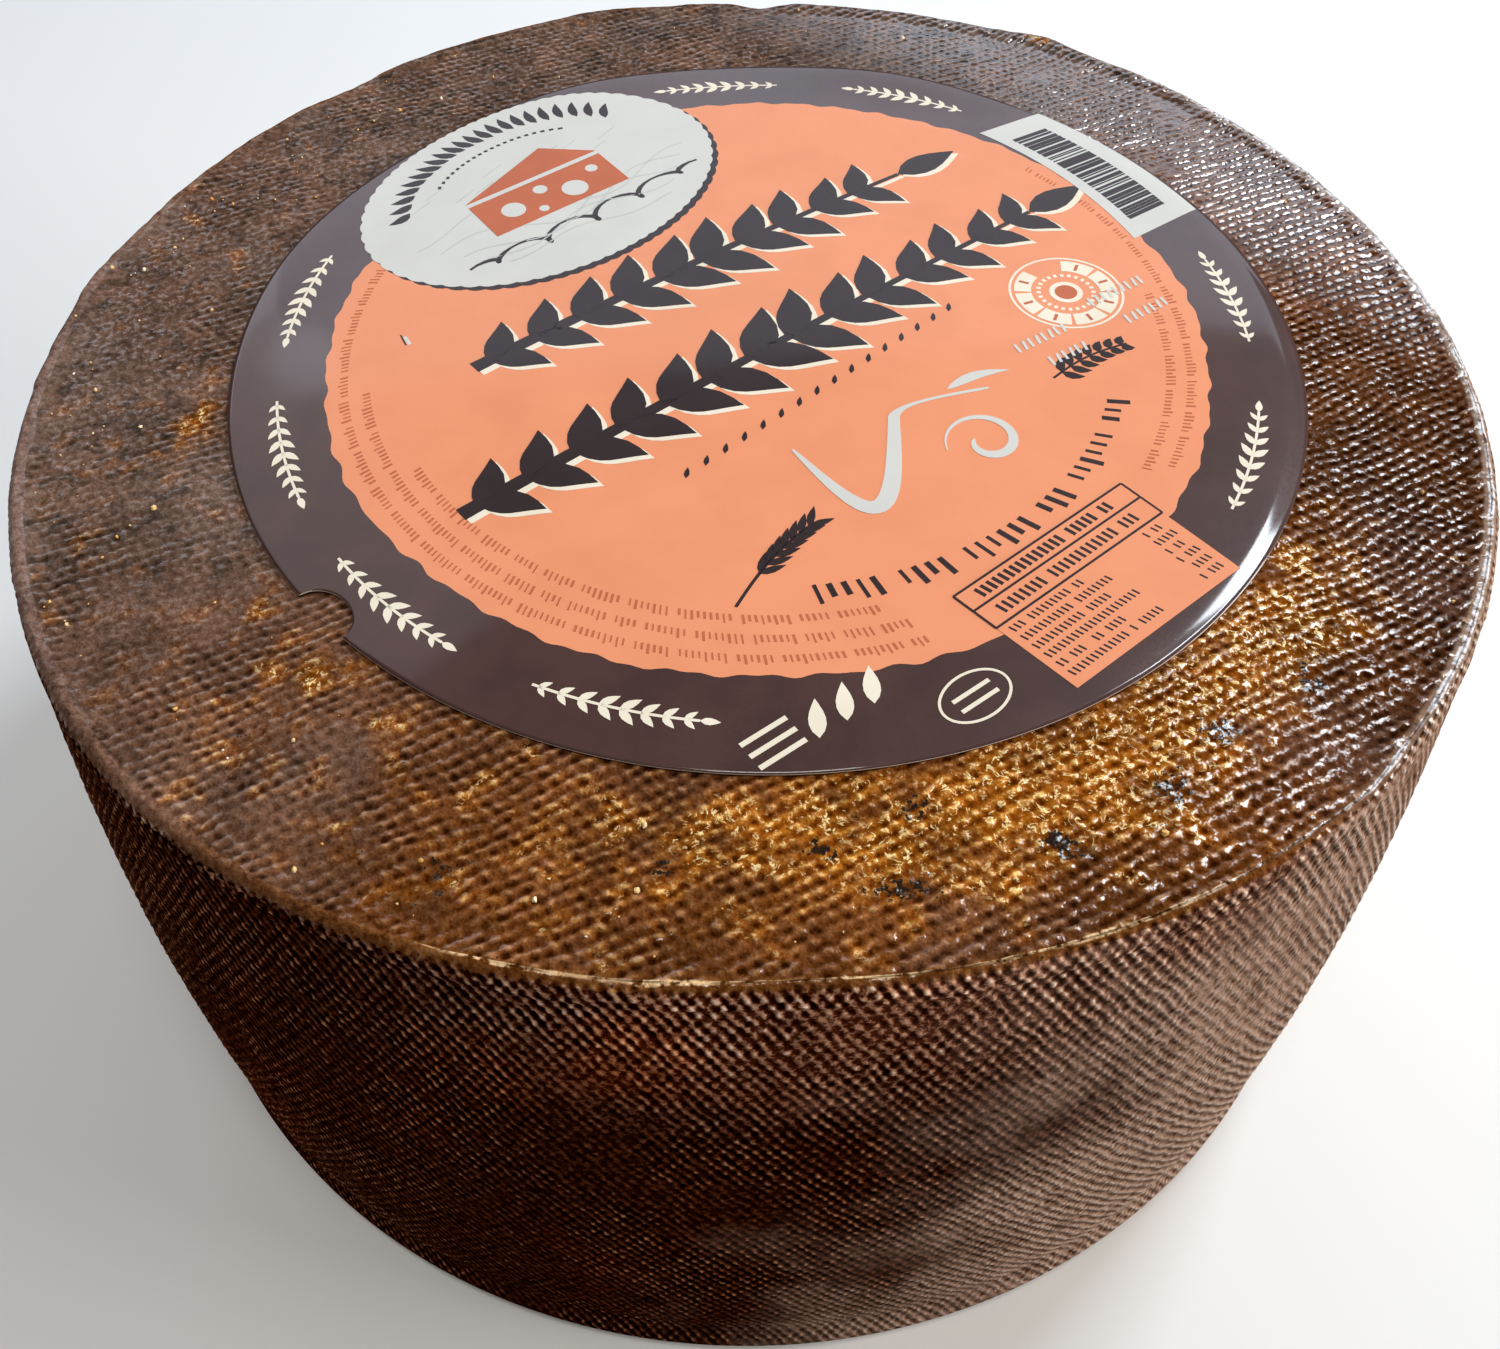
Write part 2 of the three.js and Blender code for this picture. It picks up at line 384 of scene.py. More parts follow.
def topPaint(n, place, height, axes, noises, faded, spots, leftLip):
    # brown, greyed by dust where broad noise is high and by a painted sheen where y - 0.95 * x is high, amber
    # with pale curls where spots is high, speckled, darkened in front at the right as painted shade with a
    # bluish painted reflection, and the left lip dull, ruddy on its outside
    x, y, z = axes
    plain = n.ramp(height, -1.1, 1.3, *rindLook["plain"])
    dustAndSheen = n.ramp(height, -1.2, 1.4, *rindLook["dustAndSheen"])
    # dust at random from broad noise, and a painted sheen towards the far left
    away = n.scaled(x, -0.95, y)
    dustAndSheenShare = n.plus(n.step(noises["broad"], 0.4, 0.7, -0.1, 0.3), n.step(away, -0.075, 0.035, 0.0, 0.85))
    color = n.mix(n.maths("ADD", dustAndSheenShare, 0.0, clamp=True), plain, dustAndSheen)
    color = n.mix(n.step(spots, 0.1, 0.85), color, n.ramp(height, -1.1, 1.2, *rindLook["amber"]))
    specks = n.step(n.noise(place, *rindNoise["specks"]), 0.50, 0.64)
    specks = n.times(specks, n.step(faded, 1.0, 0.6, 0.25, 0.8))
    color = n.mix(specks, color, n.tinted(color, rindLook["speckTint"]))
    # painted shade in front at the right, tinted bluish as a painted reflection
    shaded = n.times(n.step(x, 0.040, 0.080), n.step(y, 0.02, -0.02, 0.15, 0.9))
    color = n.mix(shaded, color, n.tinted(color, rindLook["shadeTint"]))
    dull = n.ramp(height, -1.1, 1.3, *rindLook["leftLip"])
    dull = n.mix(n.step(z, 0.0958, 0.0949), dull, n.tinted(dull, rindLook["ruddyTint"]))
    color = n.mix(n.times(leftLip, 0.9), color, dull)
    mottle = n.step(n.noise(place, *rindNoise["mottle"]), 0.34, 0.66, 0.78, 1.28)
    color = n.mix(1.0, color, mottle, "MULTIPLY")
    curls = n.maths("ABSOLUTE", n.centred(n.noise(place, *rindNoise["curls"])))
    curls = n.times(n.step(curls, 0.055, 0.018), n.step(noises["fine"], 0.49, 0.57))
    return n.mix(n.times(curls, n.step(spots, 0.3, 0.8, 0.0, 0.9)), color, rindLook["fleck"])


def topWax(n, wax, axes, spots, leftLip, outside):
    # less wax on the dry brown, all of it where x + y is high, and little on the lip's outside
    dry = n.most(n.step(spots, 0.45, 0.85, 1.0, 0.4), n.step(axes[0], 0.02, 0.05))
    sheen = n.step(n.plus(axes[0], axes[1]), 0.08, 0.12)
    wax = n.most(n.times(n.times(wax, dry), 0.55), sheen)
    wax = n.times(wax, n.step(leftLip, 0.0, 1.0, 1.0, 0.6))
    return n.times(wax, n.step(outside, 0.0, 1.0, 1.0, 0.15))


def rindMaterial(name, kind):
    # height is clothShare times the weighted cosines of the UV's two cycles, plus fine noise; the tone
    # attribute holds cloth, amber, marks and lip, and marks are 0 outside the top lip, 0.5 on plain rind and
    # 1 on a crust
    n = Nodes(name)
    form = rindFinish[kind]
    place = n.add("ShaderNodeTexCoord", output=3)
    tone = n.tree.nodes.new("ShaderNodeVertexColor")
    tone.layer_name = "tone"
    clothShare, amber, marks = n.split("ShaderNodeSeparateColor", tone.outputs["Color"])
    # the lip channel also carries the crest's painted highlight line, from 0.58 up
    lip = tone.outputs["Alpha"]
    cycles = n.split("ShaderNodeSeparateXYZ", n.add("ShaderNodeUVMap"))
    axes = n.split("ShaderNodeSeparateXYZ", place)
    rows = [n.times(n.maths("COSINE", n.times(cycles[i], 2 * math.pi)), form["shares"][i]) for i in range(2)]
    noises = {key: n.noise(place, *rindNoise[key]) for key in ("broad", "medium", "fine", "grain", "lumps")}
    fine, grain = noises["fine"], noises["grain"]
    uneven = n.step(noises["lumps"], 0.3, 0.7, 0.35, 1.5)
    bead = n.times(n.times(n.plus(*rows), clothShare), uneven)
    crags = n.scaled(n.centred(grain), 1.4, n.times(n.centred(fine), form["crags"]))
    height = n.plus(bead, crags)
    color = sidePaint(n, height, axes, noises)
    if kind == "top":
        outside = n.step(marks, 0.35, 0.15)
        leftLip = n.times(n.step(clothShare, 0.3, 0.05), n.step(axes[0], -0.01, -0.055))
        faded = n.step(n.scaled(axes[0], -0.95, axes[1]), -0.03, 0.05, 1.0, 0.6)
        height = n.scaled(bead, faded, crags)
        spots = n.plus(amber, n.times(n.centred(noises["medium"]), 1.8))
        color = n.mix(outside, topPaint(n, place, height, axes, noises, faded, spots, leftLip), color)
    edge = n.ramp(height, -1.0, 1.1, *rindLook["lip"])
    # painted sheen: the lip is made paler towards the right
    edge = n.mix(n.step(axes[0], 0.050, 0.085, 0.0, 0.6), edge, rindLook["paintedLipSheen"])
    color = n.mix(n.step(lip, 0.1, 0.5), color, edge)
    # painted highlight along the crest, pale amber in front and a bluish-white painted reflection towards the
    # right
    paintedCrestHighlight = n.times(n.step(lip, 0.58, 0.82), n.step(fine, 0.38, 0.54))
    color = n.mix(paintedCrestHighlight, color, n.mix(n.step(axes[0], 0.035, 0.070), rindLook["crest"], rindLook["rim"]))
    scab = n.scaled(n.centred(fine), 2.6, n.scaled(marks, 2.0, -1.0))
    scab = n.step(n.scaled(n.centred(grain), 1.6, scab), 0.45, 0.85)
    wax = n.times(n.step(height, -0.1, 0.6), n.step(noises["medium"], 0.38, 0.54, 0.3, 1.0))
    if kind == "top":
        wax = topWax(n, wax, axes, spots, leftLip, outside)
    wax = n.most(wax, n.times(scab, 0.35))
    relief = n.plus(n.plus(n.times(bead, form["beads"]), n.times(fine, 2.2)), n.times(grain, 0.6))
    film = n.scaled(fine, 0.5, n.times(noises["lumps"], 0.9))
    return n.finish(Base_Color=n.mix(scab, color, rindLook["crust"]),
                    Roughness=n.step(fine, 0.35, 0.65, 0.62, 0.42), IOR=1.46, Specular_IOR_Level=0.0,
                    Coat_Weight=n.times(wax, form["coat"]), Coat_Roughness=form["coatRoughness"],
                    Coat_IOR=1.8, Normal=n.bump(1.0, 0.0002, relief),
                    Coat_Normal=n.bump(1.0, 0.0002, film))


sideRind = rindMaterial("side_rind", "side")
topRind = rindMaterial("top_rind", "top")

# The side, in four sectors that share their border columns

columns = cloth["columnsRound"] * 4
sideRows = 151
sideTop = wheel["height"] - wheel["lipDrop"] - wheel["lipTuck"]
sideBottom = wheel["baseRound"][0]


def windingAngle(share):
    # column angles drift by up to a third of a pitch in slow waves, so the threads aren't ruler straight
    even = 360 * np.arange(columns + 1) / columns
    turn = np.radians(even)[None, :]
    drift = 0.16 * np.sin(3 * turn + 2.2 * share[:, None]) + 0.12 * np.sin(7 * turn - 3.1 * share[:, None])
    fade = np.sin(np.pi * share)[:, None]
    return even[None, :] + drift * fade * 0.9


def sideCycles(column, row):
    # cycles along the two diagonals: a column and a row are each a quarter of a cycle
    return (column + row) / 4, (column - row) / 4


def clothRows(first, second, shares):
    # the weighted sum of the cosines of the two cycles
    return shares[0] * np.cos(2 * np.pi * first) + shares[1] * np.cos(2 * np.pi * second)


def sideSurface():
    # bead height from the two diagonals, softened where the rind is worn, and fading out at top and foot
    height = np.linspace(sideBottom, sideTop, sideRows)
    share = np.linspace(0, 1, sideRows)
    angle = windingAngle(share)
    column = np.arange(columns + 1)
    u, v = sideCycles(column[None, :], np.arange(sideRows)[:, None])
    bare = wheelPoints(sideRadius(height)[:, None], height[:, None], angle)
    u = u + cloth["shake"] * gridNoise(bare, 2.3, 13)
    v = v + cloth["shake"] * gridNoise(bare, 2.3, 17)
    worn = roughNoise(bare, 16.0, 11)
    pits = roughNoise(bare, 3.0, 21, 2)
    clothShare = 0.4 + 0.6 * smoothStep(worn, 0.95, -0.35)
    beads = clothRows(u, v, cloth["sideShares"])
    fade = smoothStep(height, sideBottom, sideBottom + 1.5) * smoothStep(height, sideTop, sideTop - 0.7)
    depth = 0.5 * cloth["sideDeep"] * (1 - beads * clothShare) + 0.05 * (1 + pits)
    inward = cloth["clearance"] + fade[:, None] * depth
    points = carryRound(sideRadius(height), height, angle, inward)
    uv = np.stack([u, v], axis=-1)
    tone = np.stack([clothShare, 0 * worn, 0 * worn + 0.5, 0 * worn], axis=-1)
    return points, uv, tone


def buildSide():
    points, uv, tone = sideSurface()
    sector = columns // 4
    for i in range(4):
        span = slice(i * sector, (i + 1) * sector + 1)
        quads = gridQuads(sideRows, sector + 1)
        piece = addMesh(f"rind_side_{i + 1}", points[:, span].reshape(-1, 3), [quads],
                        uv[:, span].reshape(-1, 2), tone[:, span].reshape(-1, 4))
        dress(piece, "cheese_wheel", "rind", sideRind)
    print("side rind made", points.shape)


buildSide()

# The top: up over the lip, down the crest's inner slope and in under the label's edge

topForm = {
    "tuckRows": 3,
    "lipRows": 9,
    "slopeRows": 8,
    "innerRadius": 66.0,
    # the rings under the label: radius, and every how many columns
    "coreRings": ((62.0, 2), (56.0, 4), (46.0, 8), (30.0, 8), (14.0, 8)),
    "rowStep": 0.47,
    "teethPitch": 1.35,
    "teethDeep": 0.5,
    "teethAt": -148,          # the angle where the teeth under the lip are strongest
    "teethWide": 34,
    # where the amber gathers along the rim: angle and width, radius and depth
    "amberFront": (-72, 34, 80, 8),
    "amberRight": (-40, 20, 77, 6),
    "amberKnock": (57, 4, 95, 3),
    "rough": (165, 50),                  # angle and width of the stretch with the fewest cloth marks
    "broadLip": (-165, 45),              # of the stretch where the lip is broadest
    # the pale line along the crest is a painted highlight
    "fuzzy": ((-97, 6), (-69, 2)),       # and of the places where its pale line is wide
    "pale": (-72, 46, 32),               # the pale line's middle, its half length, and where it fades from
    "paleRight": (-5, 75, 45),
    # place and half size of the black crusts and of the amber smears
    "crusts": ((14.8, -82.8, 3.8, 1.5), (7.0, -78.5, 2.0, 1.4), (30.7, -78.8, 2.6, 1.4),
               (-8.2, -80.5, 1.4, 1.2), (16.5, -73.9, 1.7, 1.6), (42.9, -71.9, 2.4, 2.2),
               (49.3, -64.9, 2.3, 1.9), (60.5, -59.0, 1.8, 1.6)),
    "smears": ((-71.0, -14.0, 4.0, 9.0), (-73.5, 18.0, 2.5, 6.0), (-47.0, -57.0, 5.0, 3.0),
               (-84.0, 30.0, 3.0, 4.0)),
}


def topSection():
    # side to lip, a quarter of an ellipse over the lip, the slope, then the flat face inwards
    under = wheel["height"] - wheel["lipDrop"]
    turn = np.linspace(0, np.pi / 2, topForm["lipRows"])
    start, end, drop = wheel["crestSlope"]
    crest = wheel["rimRadius"] - wheel["crestWidth"]
    face = wheel["height"] - wheel["faceRecess"]
    tuck = np.linspace(0, 1, topForm["tuckRows"])[:-1]
    tuckRadius = sideRadius(sideTop) + (wheel["rimRadius"] - sideRadius(sideTop)) * tuck
    slope = np.linspace(0, 1, topForm["slopeRows"])[1:]
    flat = np.arange(crest - end, topForm["innerRadius"], -topForm["rowStep"])[1:]
    radius = np.concatenate([tuckRadius, wheel["rimRadius"] - wheel["crestWidth"] * (1 - np.cos(turn)),
                             crest - end * slope, flat, [topForm["innerRadius"]]])
    slopeHeight = np.interp(end * slope, [0, start, end], [wheel["height"], wheel["height"] - drop, face])
    height = np.concatenate([sideTop + wheel["lipTuck"] * tuck, under + wheel["lipDrop"] * np.sin(turn),
                             slopeHeight, np.full(len(flat) + 1, face)])
    return radius, height


def topCycles(points):
    # the rows' and the cross rows' cycles at a place, with the place pushed about by slow noise
    push = np.stack([roughNoise(points, 14.0, 41, 2), roughNoise(points, 14.0, 51, 2)], axis=-1) * 0.8
    shake = np.stack([gridNoise(points, 2.6, 43), gridNoise(points, 2.6, 53)], axis=-1) * 0.3
    flat = points[..., :2] + push + shake
    return flat @ np.array(cloth["topRows"]), flat @ np.array(cloth["topCross"])


def teethWave(angle):
    # 1 on a tooth under the lip and 0 between two: a cosine of the angle with a whole number of teeth round
    teeth = round(2 * np.pi * wheel["rimRadius"] / topForm["teethPitch"])
    return 0.5 + 0.5 * np.cos(np.radians(angle) * teeth)


def rimSpot(radius, angle, at, wide, middle, deep):
    # a bell along the rim times a bell across it
    return bell(turnBetween(at, angle), wide) * bell(radius - middle, deep)


def rimSpan(angle, at, none, full):
    # 1 within full degrees of a place on the rim, falling to 0 at none
    return smoothStep(np.abs(turnBetween(at, angle)), none, full)


def spotSum(x, y, spots):
    # an oval bell about each spot
    return sum(bell(x - px, wide) * bell(y - py, high) for px, py, wide, high in spots)


def topTone(points, radius, height, angle):
    # amber gathers in front of the label and in scattered patches, crust in small ones; the lip has its own
    # colour, and along its crest runs a painted highlight line
    x, y = points[..., 0], points[..., 1]
    front = rimSpot(radius, angle, *topForm["amberFront"])
    patch = roughNoise(points, 13.0, 61)
    amber = 0.62 * front + 0.4 * rimSpot(radius, angle, *topForm["amberRight"])
    amber = amber + 0.3 * smoothStep(patch, 0.1, 1.2) + 0.1 * smoothStep(-y, 0, 60)
    amber = amber - 0.35 * smoothStep(y, 0, 50) - 0.2 * smoothStep(x, 50, 80)
    amber = amber + 0.9 * rimSpot(radius, angle, *topForm["amberKnock"])
    amber = amber + 0.45 * spotSum(x, y, topForm["smears"])
    crust = smoothStep(roughNoise(points, 5.0, 71), 0.7, 1.2) * bell(radius - 84, 9) * (0.5 + 0.5 * front)
    crust = crust + 0.85 * spotSum(x, y, topForm["crusts"])
    roughAt, roughWide = topForm["rough"]
    rough = bell(turnBetween(roughAt, angle), roughWide)
    worn = smoothStep(roughNoise(points, 10.0, 81) + 1.1 * rough, 0.1, 1.0)
    broadAt, broadWide = topForm["broadLip"]
    broad = bell(turnBetween(broadAt, angle), broadWide)
    nibble = 0.35 * roughNoise(points, 2.5, 83, 2)
    outer = smoothStep(height + nibble, 96.1 - 1.9 * broad, 96.35 - 1.9 * broad)
    inner = smoothStep(radius + 0.5 * nibble, 94.8 - 1.1 * broad, 95.1 - 1.1 * broad)
    clothShare = (1 - 0.75 * worn) * (1 - outer * inner) * (1 - 0.4 * amber)
    # the crest line: a painted highlight, strongest in front and towards the right, wider at a few places
    streak = 0.7 + 0.3 * smoothStep(roughNoise(points, 6.0, 85, 3), -0.9, 0.3)
    pale = np.maximum(rimSpan(angle, *topForm["pale"]), rimSpan(angle, *topForm["paleRight"]))
    fuzzy = sum(bell(turnBetween(at, angle), wide) for at, wide in topForm["fuzzy"])
    crestWide = 0.34 + 0.5 * fuzzy + 0.4 * rimSpan(angle, topForm["paleRight"][0], 62, 35)
    crest = bell(radius - 95.0 + 0.4 * nibble, crestWide) * (height > 95.9) * streak * np.maximum(pale, 0.3)
    lip = np.maximum((0.55 - 0.4 * broad) * outer * inner, crest)
    toothed = height + 1.1 * (teethWave(angle) - 0.5) * bell(turnBetween(topForm["teethAt"], angle), 45)
    outside = smoothStep(toothed, 96.1 - 1.5 * broad, 95.7 - 1.5 * broad) * (radius > 94.9)
    marks = 0.5 + 0.5 * np.minimum(crust, 1) * (1 - outside) - 0.5 * outside
    return np.clip(np.stack(np.broadcast_arrays(clothShare, amber, marks, lip), axis=-1), 0, 1)


def topSurface():
    radius, height = topSection()
    angle = 360 * np.arange(columns + 1) / columns
    bare = wheelPoints(radius[:, None], height[:, None], angle)
    first, second = topCycles(bare)
    onLip = (radius > wheel["rimRadius"] - wheel["crestWidth"]) & (height < wheel["height"])
    lipRow = (sideRows - 1) * (height - sideBottom) / (sideTop - sideBottom)
    lipFirst, lipSecond = sideCycles(np.arange(columns + 1)[None, :], lipRow[:, None])
    first = np.where(onLip[:, None], lipFirst, first)
    second = np.where(onLip[:, None], lipSecond, second)
    tone = topTone(bare, radius[:, None], height[:, None], angle[None, :])
    rows = clothRows(first, second, cloth["topShares"])
    pits = roughNoise(bare, 2.2, 91, 3)
    lumps = roughNoise(bare, 24.0, 95, 2)
    onFace = 0.45 + 0.55 * smoothStep(radius, 95.3, 94.5)[:, None]
    inward = cloth["clearance"] + onFace * (0.5 * cloth["topDeep"] * (1 - rows * tone[..., 0])
                                            + 0.07 * (1 + pits * (1.7 - tone[..., 0])) + 0.05 * (1 + lumps))
    wave = teethWave(angle)
    teeth = topForm["teethDeep"] * (0.25 + bell(turnBetween(topForm["teethAt"], angle), topForm["teethWide"]))
    lowLip = bell(height - (wheel["height"] - wheel["lipDrop"]), 0.8)[:, None]
    chipped = 0.12 * (1 + roughNoise(bare, 3.5, 97, 2)) * bell(radius - 95.5, 1.5)[:, None]
    seam = smoothStep(np.arange(len(radius)), 0, 2)[:, None]
    inward = cloth["clearance"] + seam * (inward - cloth["clearance"] + teeth * (1 - wave) * lowLip + chipped)
    points = carryRound(radius, height, angle, inward)
    uv = np.stack([first, second], axis=-1)
    return points, uv, tone


def buildTop():
    points, uv, tone = topSurface()
    rows = len(points)
    half = columns // 2
    for i in range(2):
        span = slice(i * half, (i + 1) * half + 1)
        piece = addMesh(f"rind_top_{i + 1}", points[:, span].reshape(-1, 3), [gridQuads(rows, half + 1)],
                        uv[:, span].reshape(-1, 2), tone[:, span].reshape(-1, 4))
        dress(piece, "cheese_wheel", "rind", topRind)
    buildCore("rind_under_label", points[-1, :-1], uv[-1, :-1], tone[-1, :-1])
    print("top rind made", points.shape)


def halvingFaces(fine, coarse):
    # three triangles for every two fine columns, from a closed ring to the next one with half as many
    a, b, c = fine[0::2], fine[1::2], np.roll(fine, -2)[0::2]
    p, q = coarse, np.roll(coarse, -1)
    return np.concatenate([np.stack([a, b, p], -1), np.stack([b, q, p], -1), np.stack([b, c, q], -1)])


def addRings(name, points, uvs, tones, upward):
    # closed rings, each joined to the next one in with as many columns or half as many, and a single point
    starts = np.cumsum([0] + [len(ring) for ring in points])
    faces = []
    for i in range(len(points) - 2):
        outer, inner = np.arange(*starts[i:i + 2]), np.arange(*starts[i + 1:i + 3])
        even = len(outer) == len(inner)
        after = np.roll(outer, -1)
        faces.append(halves(np.stack([outer, after, np.roll(inner, -1), inner], -1)) if even
                     else halvingFaces(outer, inner))
    last = np.arange(starts[-3], starts[-2])
    faces.append(np.stack([last, np.roll(last, -1), np.full(len(last), starts[-2])], -1))
    faces = np.concatenate(faces)
    piece = addMesh(name, np.concatenate(points), [faces if upward else faces[:, ::-1]],
                    np.concatenate(uvs), np.concatenate(tones))
    dress(piece, "cheese_wheel", "rind", topRind)


def buildCore(name, border, borderUv, borderTone):
    # rings of fewer and fewer columns from a border ring in to one middle point
    middle = border.mean(axis=0)
    points, uvs, tones = [border], [borderUv], [borderTone]
    for radius, every in topForm["coreRings"]:
        share = radius / topForm["innerRadius"]
        points.append(middle + (border[::every] - middle) * [share, share, 1])
        uvs.append(borderUv[::every] * share)
        tones.append(borderTone[::every])
    addRings(name, points + [middle[None]], uvs + [borderUv[:1]], tones + [borderTone[:1]], True)


buildTop()

# The base: round the foot and in to the middle, resting on the floor

baseForm = {
    "roundRows": 6,
    "rowStep": 0.95,
    "deep": 0.12,
}


def baseRings():
    # radius, height and column step of each ring, the column step doubling as the rings get smaller
    high, deep = wheel["baseRound"]
    edge = sideRadius(high) - deep
    turn = np.linspace(np.pi / 2, 0, baseForm["roundRows"])
    radius = np.concatenate([edge + deep * np.sin(turn), np.arange(edge, 2, -baseForm["rowStep"])[1:]])
    height = np.concatenate([high * (1 - np.cos(turn)), np.zeros(len(radius) - len(turn))])
    every = np.where(radius > 45, 2, np.where(radius > 22, 4, 8))
    every[0] = 1
    return radius, height, every


def buildBase():
    radius, height, every = baseRings()
    outShare, upShare = sectionNormals(radius, height)
    points, uvs, tones = [], [], []
    for i in range(len(radius)):
        angle = 360 * np.arange(0, columns, every[i]) / columns
        bare = wheelPoints(radius[i] + 0 * angle, height[i] + 0 * angle, angle)
        first, second = topCycles(bare)
        worn = smoothStep(roughNoise(bare, 12.0, 111), 0.1, 1.0)
        rows = clothRows(first, second, cloth["topShares"])
        lift = baseForm["deep"] * (0.5 - 0.5 * rows) * (1 - 0.6 * worn)
        lift = lift + 0.05 * (1 + roughNoise(bare, 6.0, 121, 2))
        inward = cloth["clearance"] * (height[i] > 0) + lift * smoothStep(float(i), 1, 4)
        turn = np.radians(angle)
        normal = np.stack([outShare[i] * np.cos(turn), outShare[i] * np.sin(turn), upShare[i] + 0 * turn], -1)
        ring = bare + normal * inward[:, None]
        ring[:, 2] = np.maximum(ring[:, 2], 0)
        points.append(ring)
        uvs.append(np.stack([first, second], -1))
        zero = 0 * worn
        marks = 0.5 * smoothStep(float(i), 3, 7) + 0.2 * worn
        tones.append(np.stack([1 - 0.6 * worn, zero + 0.15, marks, zero], -1))
    addRings("rind_base", points + [points[-1].mean(axis=0)[None]], uvs + [uvs[-1][:1]],
             tones + [tones[-1][:1]], False)
    print("base made", sum(len(ring) for ring in points))


buildBase()

# Crumbs and crystals on the top

crumbForm = {
    "count": 150,
    "size": (0.13, 0.48),     # half across
    "spread": (74.0, 94.6),   # between these radii
    "thickest": (168, 34),    # the angle where most of them lie, and how far they stray from it
    "atThickest": 0.6,        # the share of them that lie there
    "sunk": 0.12,
    "lumpy": (0.65, 1.25),    # how far the corners stand out, from the least to the most
    "flat": (0.6, 1.1),       # how much a crumb is squashed along each axis
    "colors": ((0.50, 0.20, 0.03), (0.78, 0.42, 0.10), (0.84, 0.62, 0.30), (0.88, 0.80, 0.66)),
}


def ballPoints():
    # the twelve corners and twenty faces of an icosahedron
    ratio = (1 + math.sqrt(5)) / 2
    corners = np.array([(-1, ratio, 0), (1, ratio, 0), (-1, -ratio, 0), (1, -ratio, 0),
                        (0, -1, ratio), (0, 1, ratio), (0, -1, -ratio), (0, 1, -ratio),
                        (ratio, 0, -1), (ratio, 0, 1), (-ratio, 0, -1), (-ratio, 0, 1)])
    faces = np.array([(0, 11, 5), (0, 5, 1), (0, 1, 7), (0, 7, 10), (0, 10, 11), (1, 5, 9), (5, 11, 4),
                      (11, 10, 2), (10, 7, 6), (7, 1, 8), (3, 9, 4), (3, 4, 2), (3, 2, 6), (3, 6, 8),
                      (3, 8, 9), (4, 9, 5), (2, 4, 11), (6, 2, 10), (8, 6, 7), (9, 8, 1)])
    return corners / np.linalg.norm(corners[0]), faces


def crumbMaterial():
    # pale cream to amber from crumb to crumb, with a waxy gloss
    n = Nodes("crumbs")
    place = n.add("ShaderNodeTexCoord", output=3)
    return n.finish(Base_Color=n.ramp(n.noise(place, 210, 1), 0.3, 0.7, *crumbForm["colors"]),
                    Roughness=n.step(n.noise(place, 1500, 2), 0.3, 0.7, 0.3, 0.6),
                    Normal=n.bump(0.6, 0.0001, n.noise(place, 2500, 3)))


def buildCrumbs():
    # uneven, flattened icosahedra, most of them small, thicker at the left and along the rim
    rng = np.random.default_rng(5)
    count = crumbForm["count"]
    gathered = rng.random(count) < crumbForm["atThickest"]
    angle = np.where(gathered, rng.normal(*crumbForm["thickest"], count), rng.uniform(-180, 180, count))
    low, high = crumbForm["spread"]
    radius = low + (high - low) * rng.random(count) ** 0.55
    small, large = crumbForm["size"]
    size = small + (large - small) * rng.random(count) ** 3
    corners, faces = ballPoints()
    shapes = corners * rng.uniform(*crumbForm["lumpy"], (count, len(corners), 1))
    shapes = shapes * rng.uniform(*crumbForm["flat"], (count, 1, 3))
    height = wheel["height"] - wheel["faceRecess"] - crumbForm["sunk"]
    middle = wheelPoints(radius, np.full(count, height), angle)
    points = middle[:, None] + shapes * size[:, None, None]
    index = faces[None] + len(corners) * np.arange(count)[:, None, None]
    piece = addMesh("rind_crumbs", points.reshape(-1, 3), [index.reshape(-1, 3)], smooth=False)
    dress(piece, "cheese_wheel", "rind", crumbMaterial())
    print("crumbs made", count)


buildCrumbs()

# The label: a paper disc with a dark ring printed round a salmon field

paper = {
    "radius": 71.6,
    "middle": (2.527, 1.261),
    "under": 96.04,
    "thick": 0.16,
    "notch": (-135, 8.8, 3.3),           # angle, width and depth of the bite out of its edge
    "lifts": ((116, 17, 7, 0.9), (71, 15, 6, 0.8), (168, 20, 6, 0.5)),
    "bent": (-8, 36, 0.3, 2.4),          # where the edge bends down: angle, width, how far, how far in
    "fieldRadius": 59.4,
    "turns": 480,
    "notchSteps": 33,
    "fieldRings": 46,
    "ringRings": 14,
    # the rings of its underside as shares of its edge
    "underShares": (1, 0.985, 0.97, 0.955, 0.94, 0.925, 0.91, 0.89, 0.86, 0.82, 0.76, 0.6, 0.3),
}


def paperEdge(angle):
    # the disc's radius, less deep * sqrt(1 - (along / half the width)^2) in the bite
    at, wide, deep = paper["notch"]
    along = np.radians(turnBetween(at, angle)) * paper["radius"]
    across = np.clip(1 - (along / (wide / 2)) ** 2, 0, None)
    return paper["radius"] - deep * np.sqrt(across)


def fieldEdge(angle):
    # the printed field's deckled edge: its radius with small uneven waves
    turn = np.radians(angle)
    waves = 0.2 * np.sin(47 * turn + 2 * np.sin(5 * turn))
    waves = waves + 0.14 * np.sin(83 * turn + 3 * np.sin(4 * turn + 1))
    return paper["fieldRadius"] + waves + 0.2 * np.sin(9 * turn)


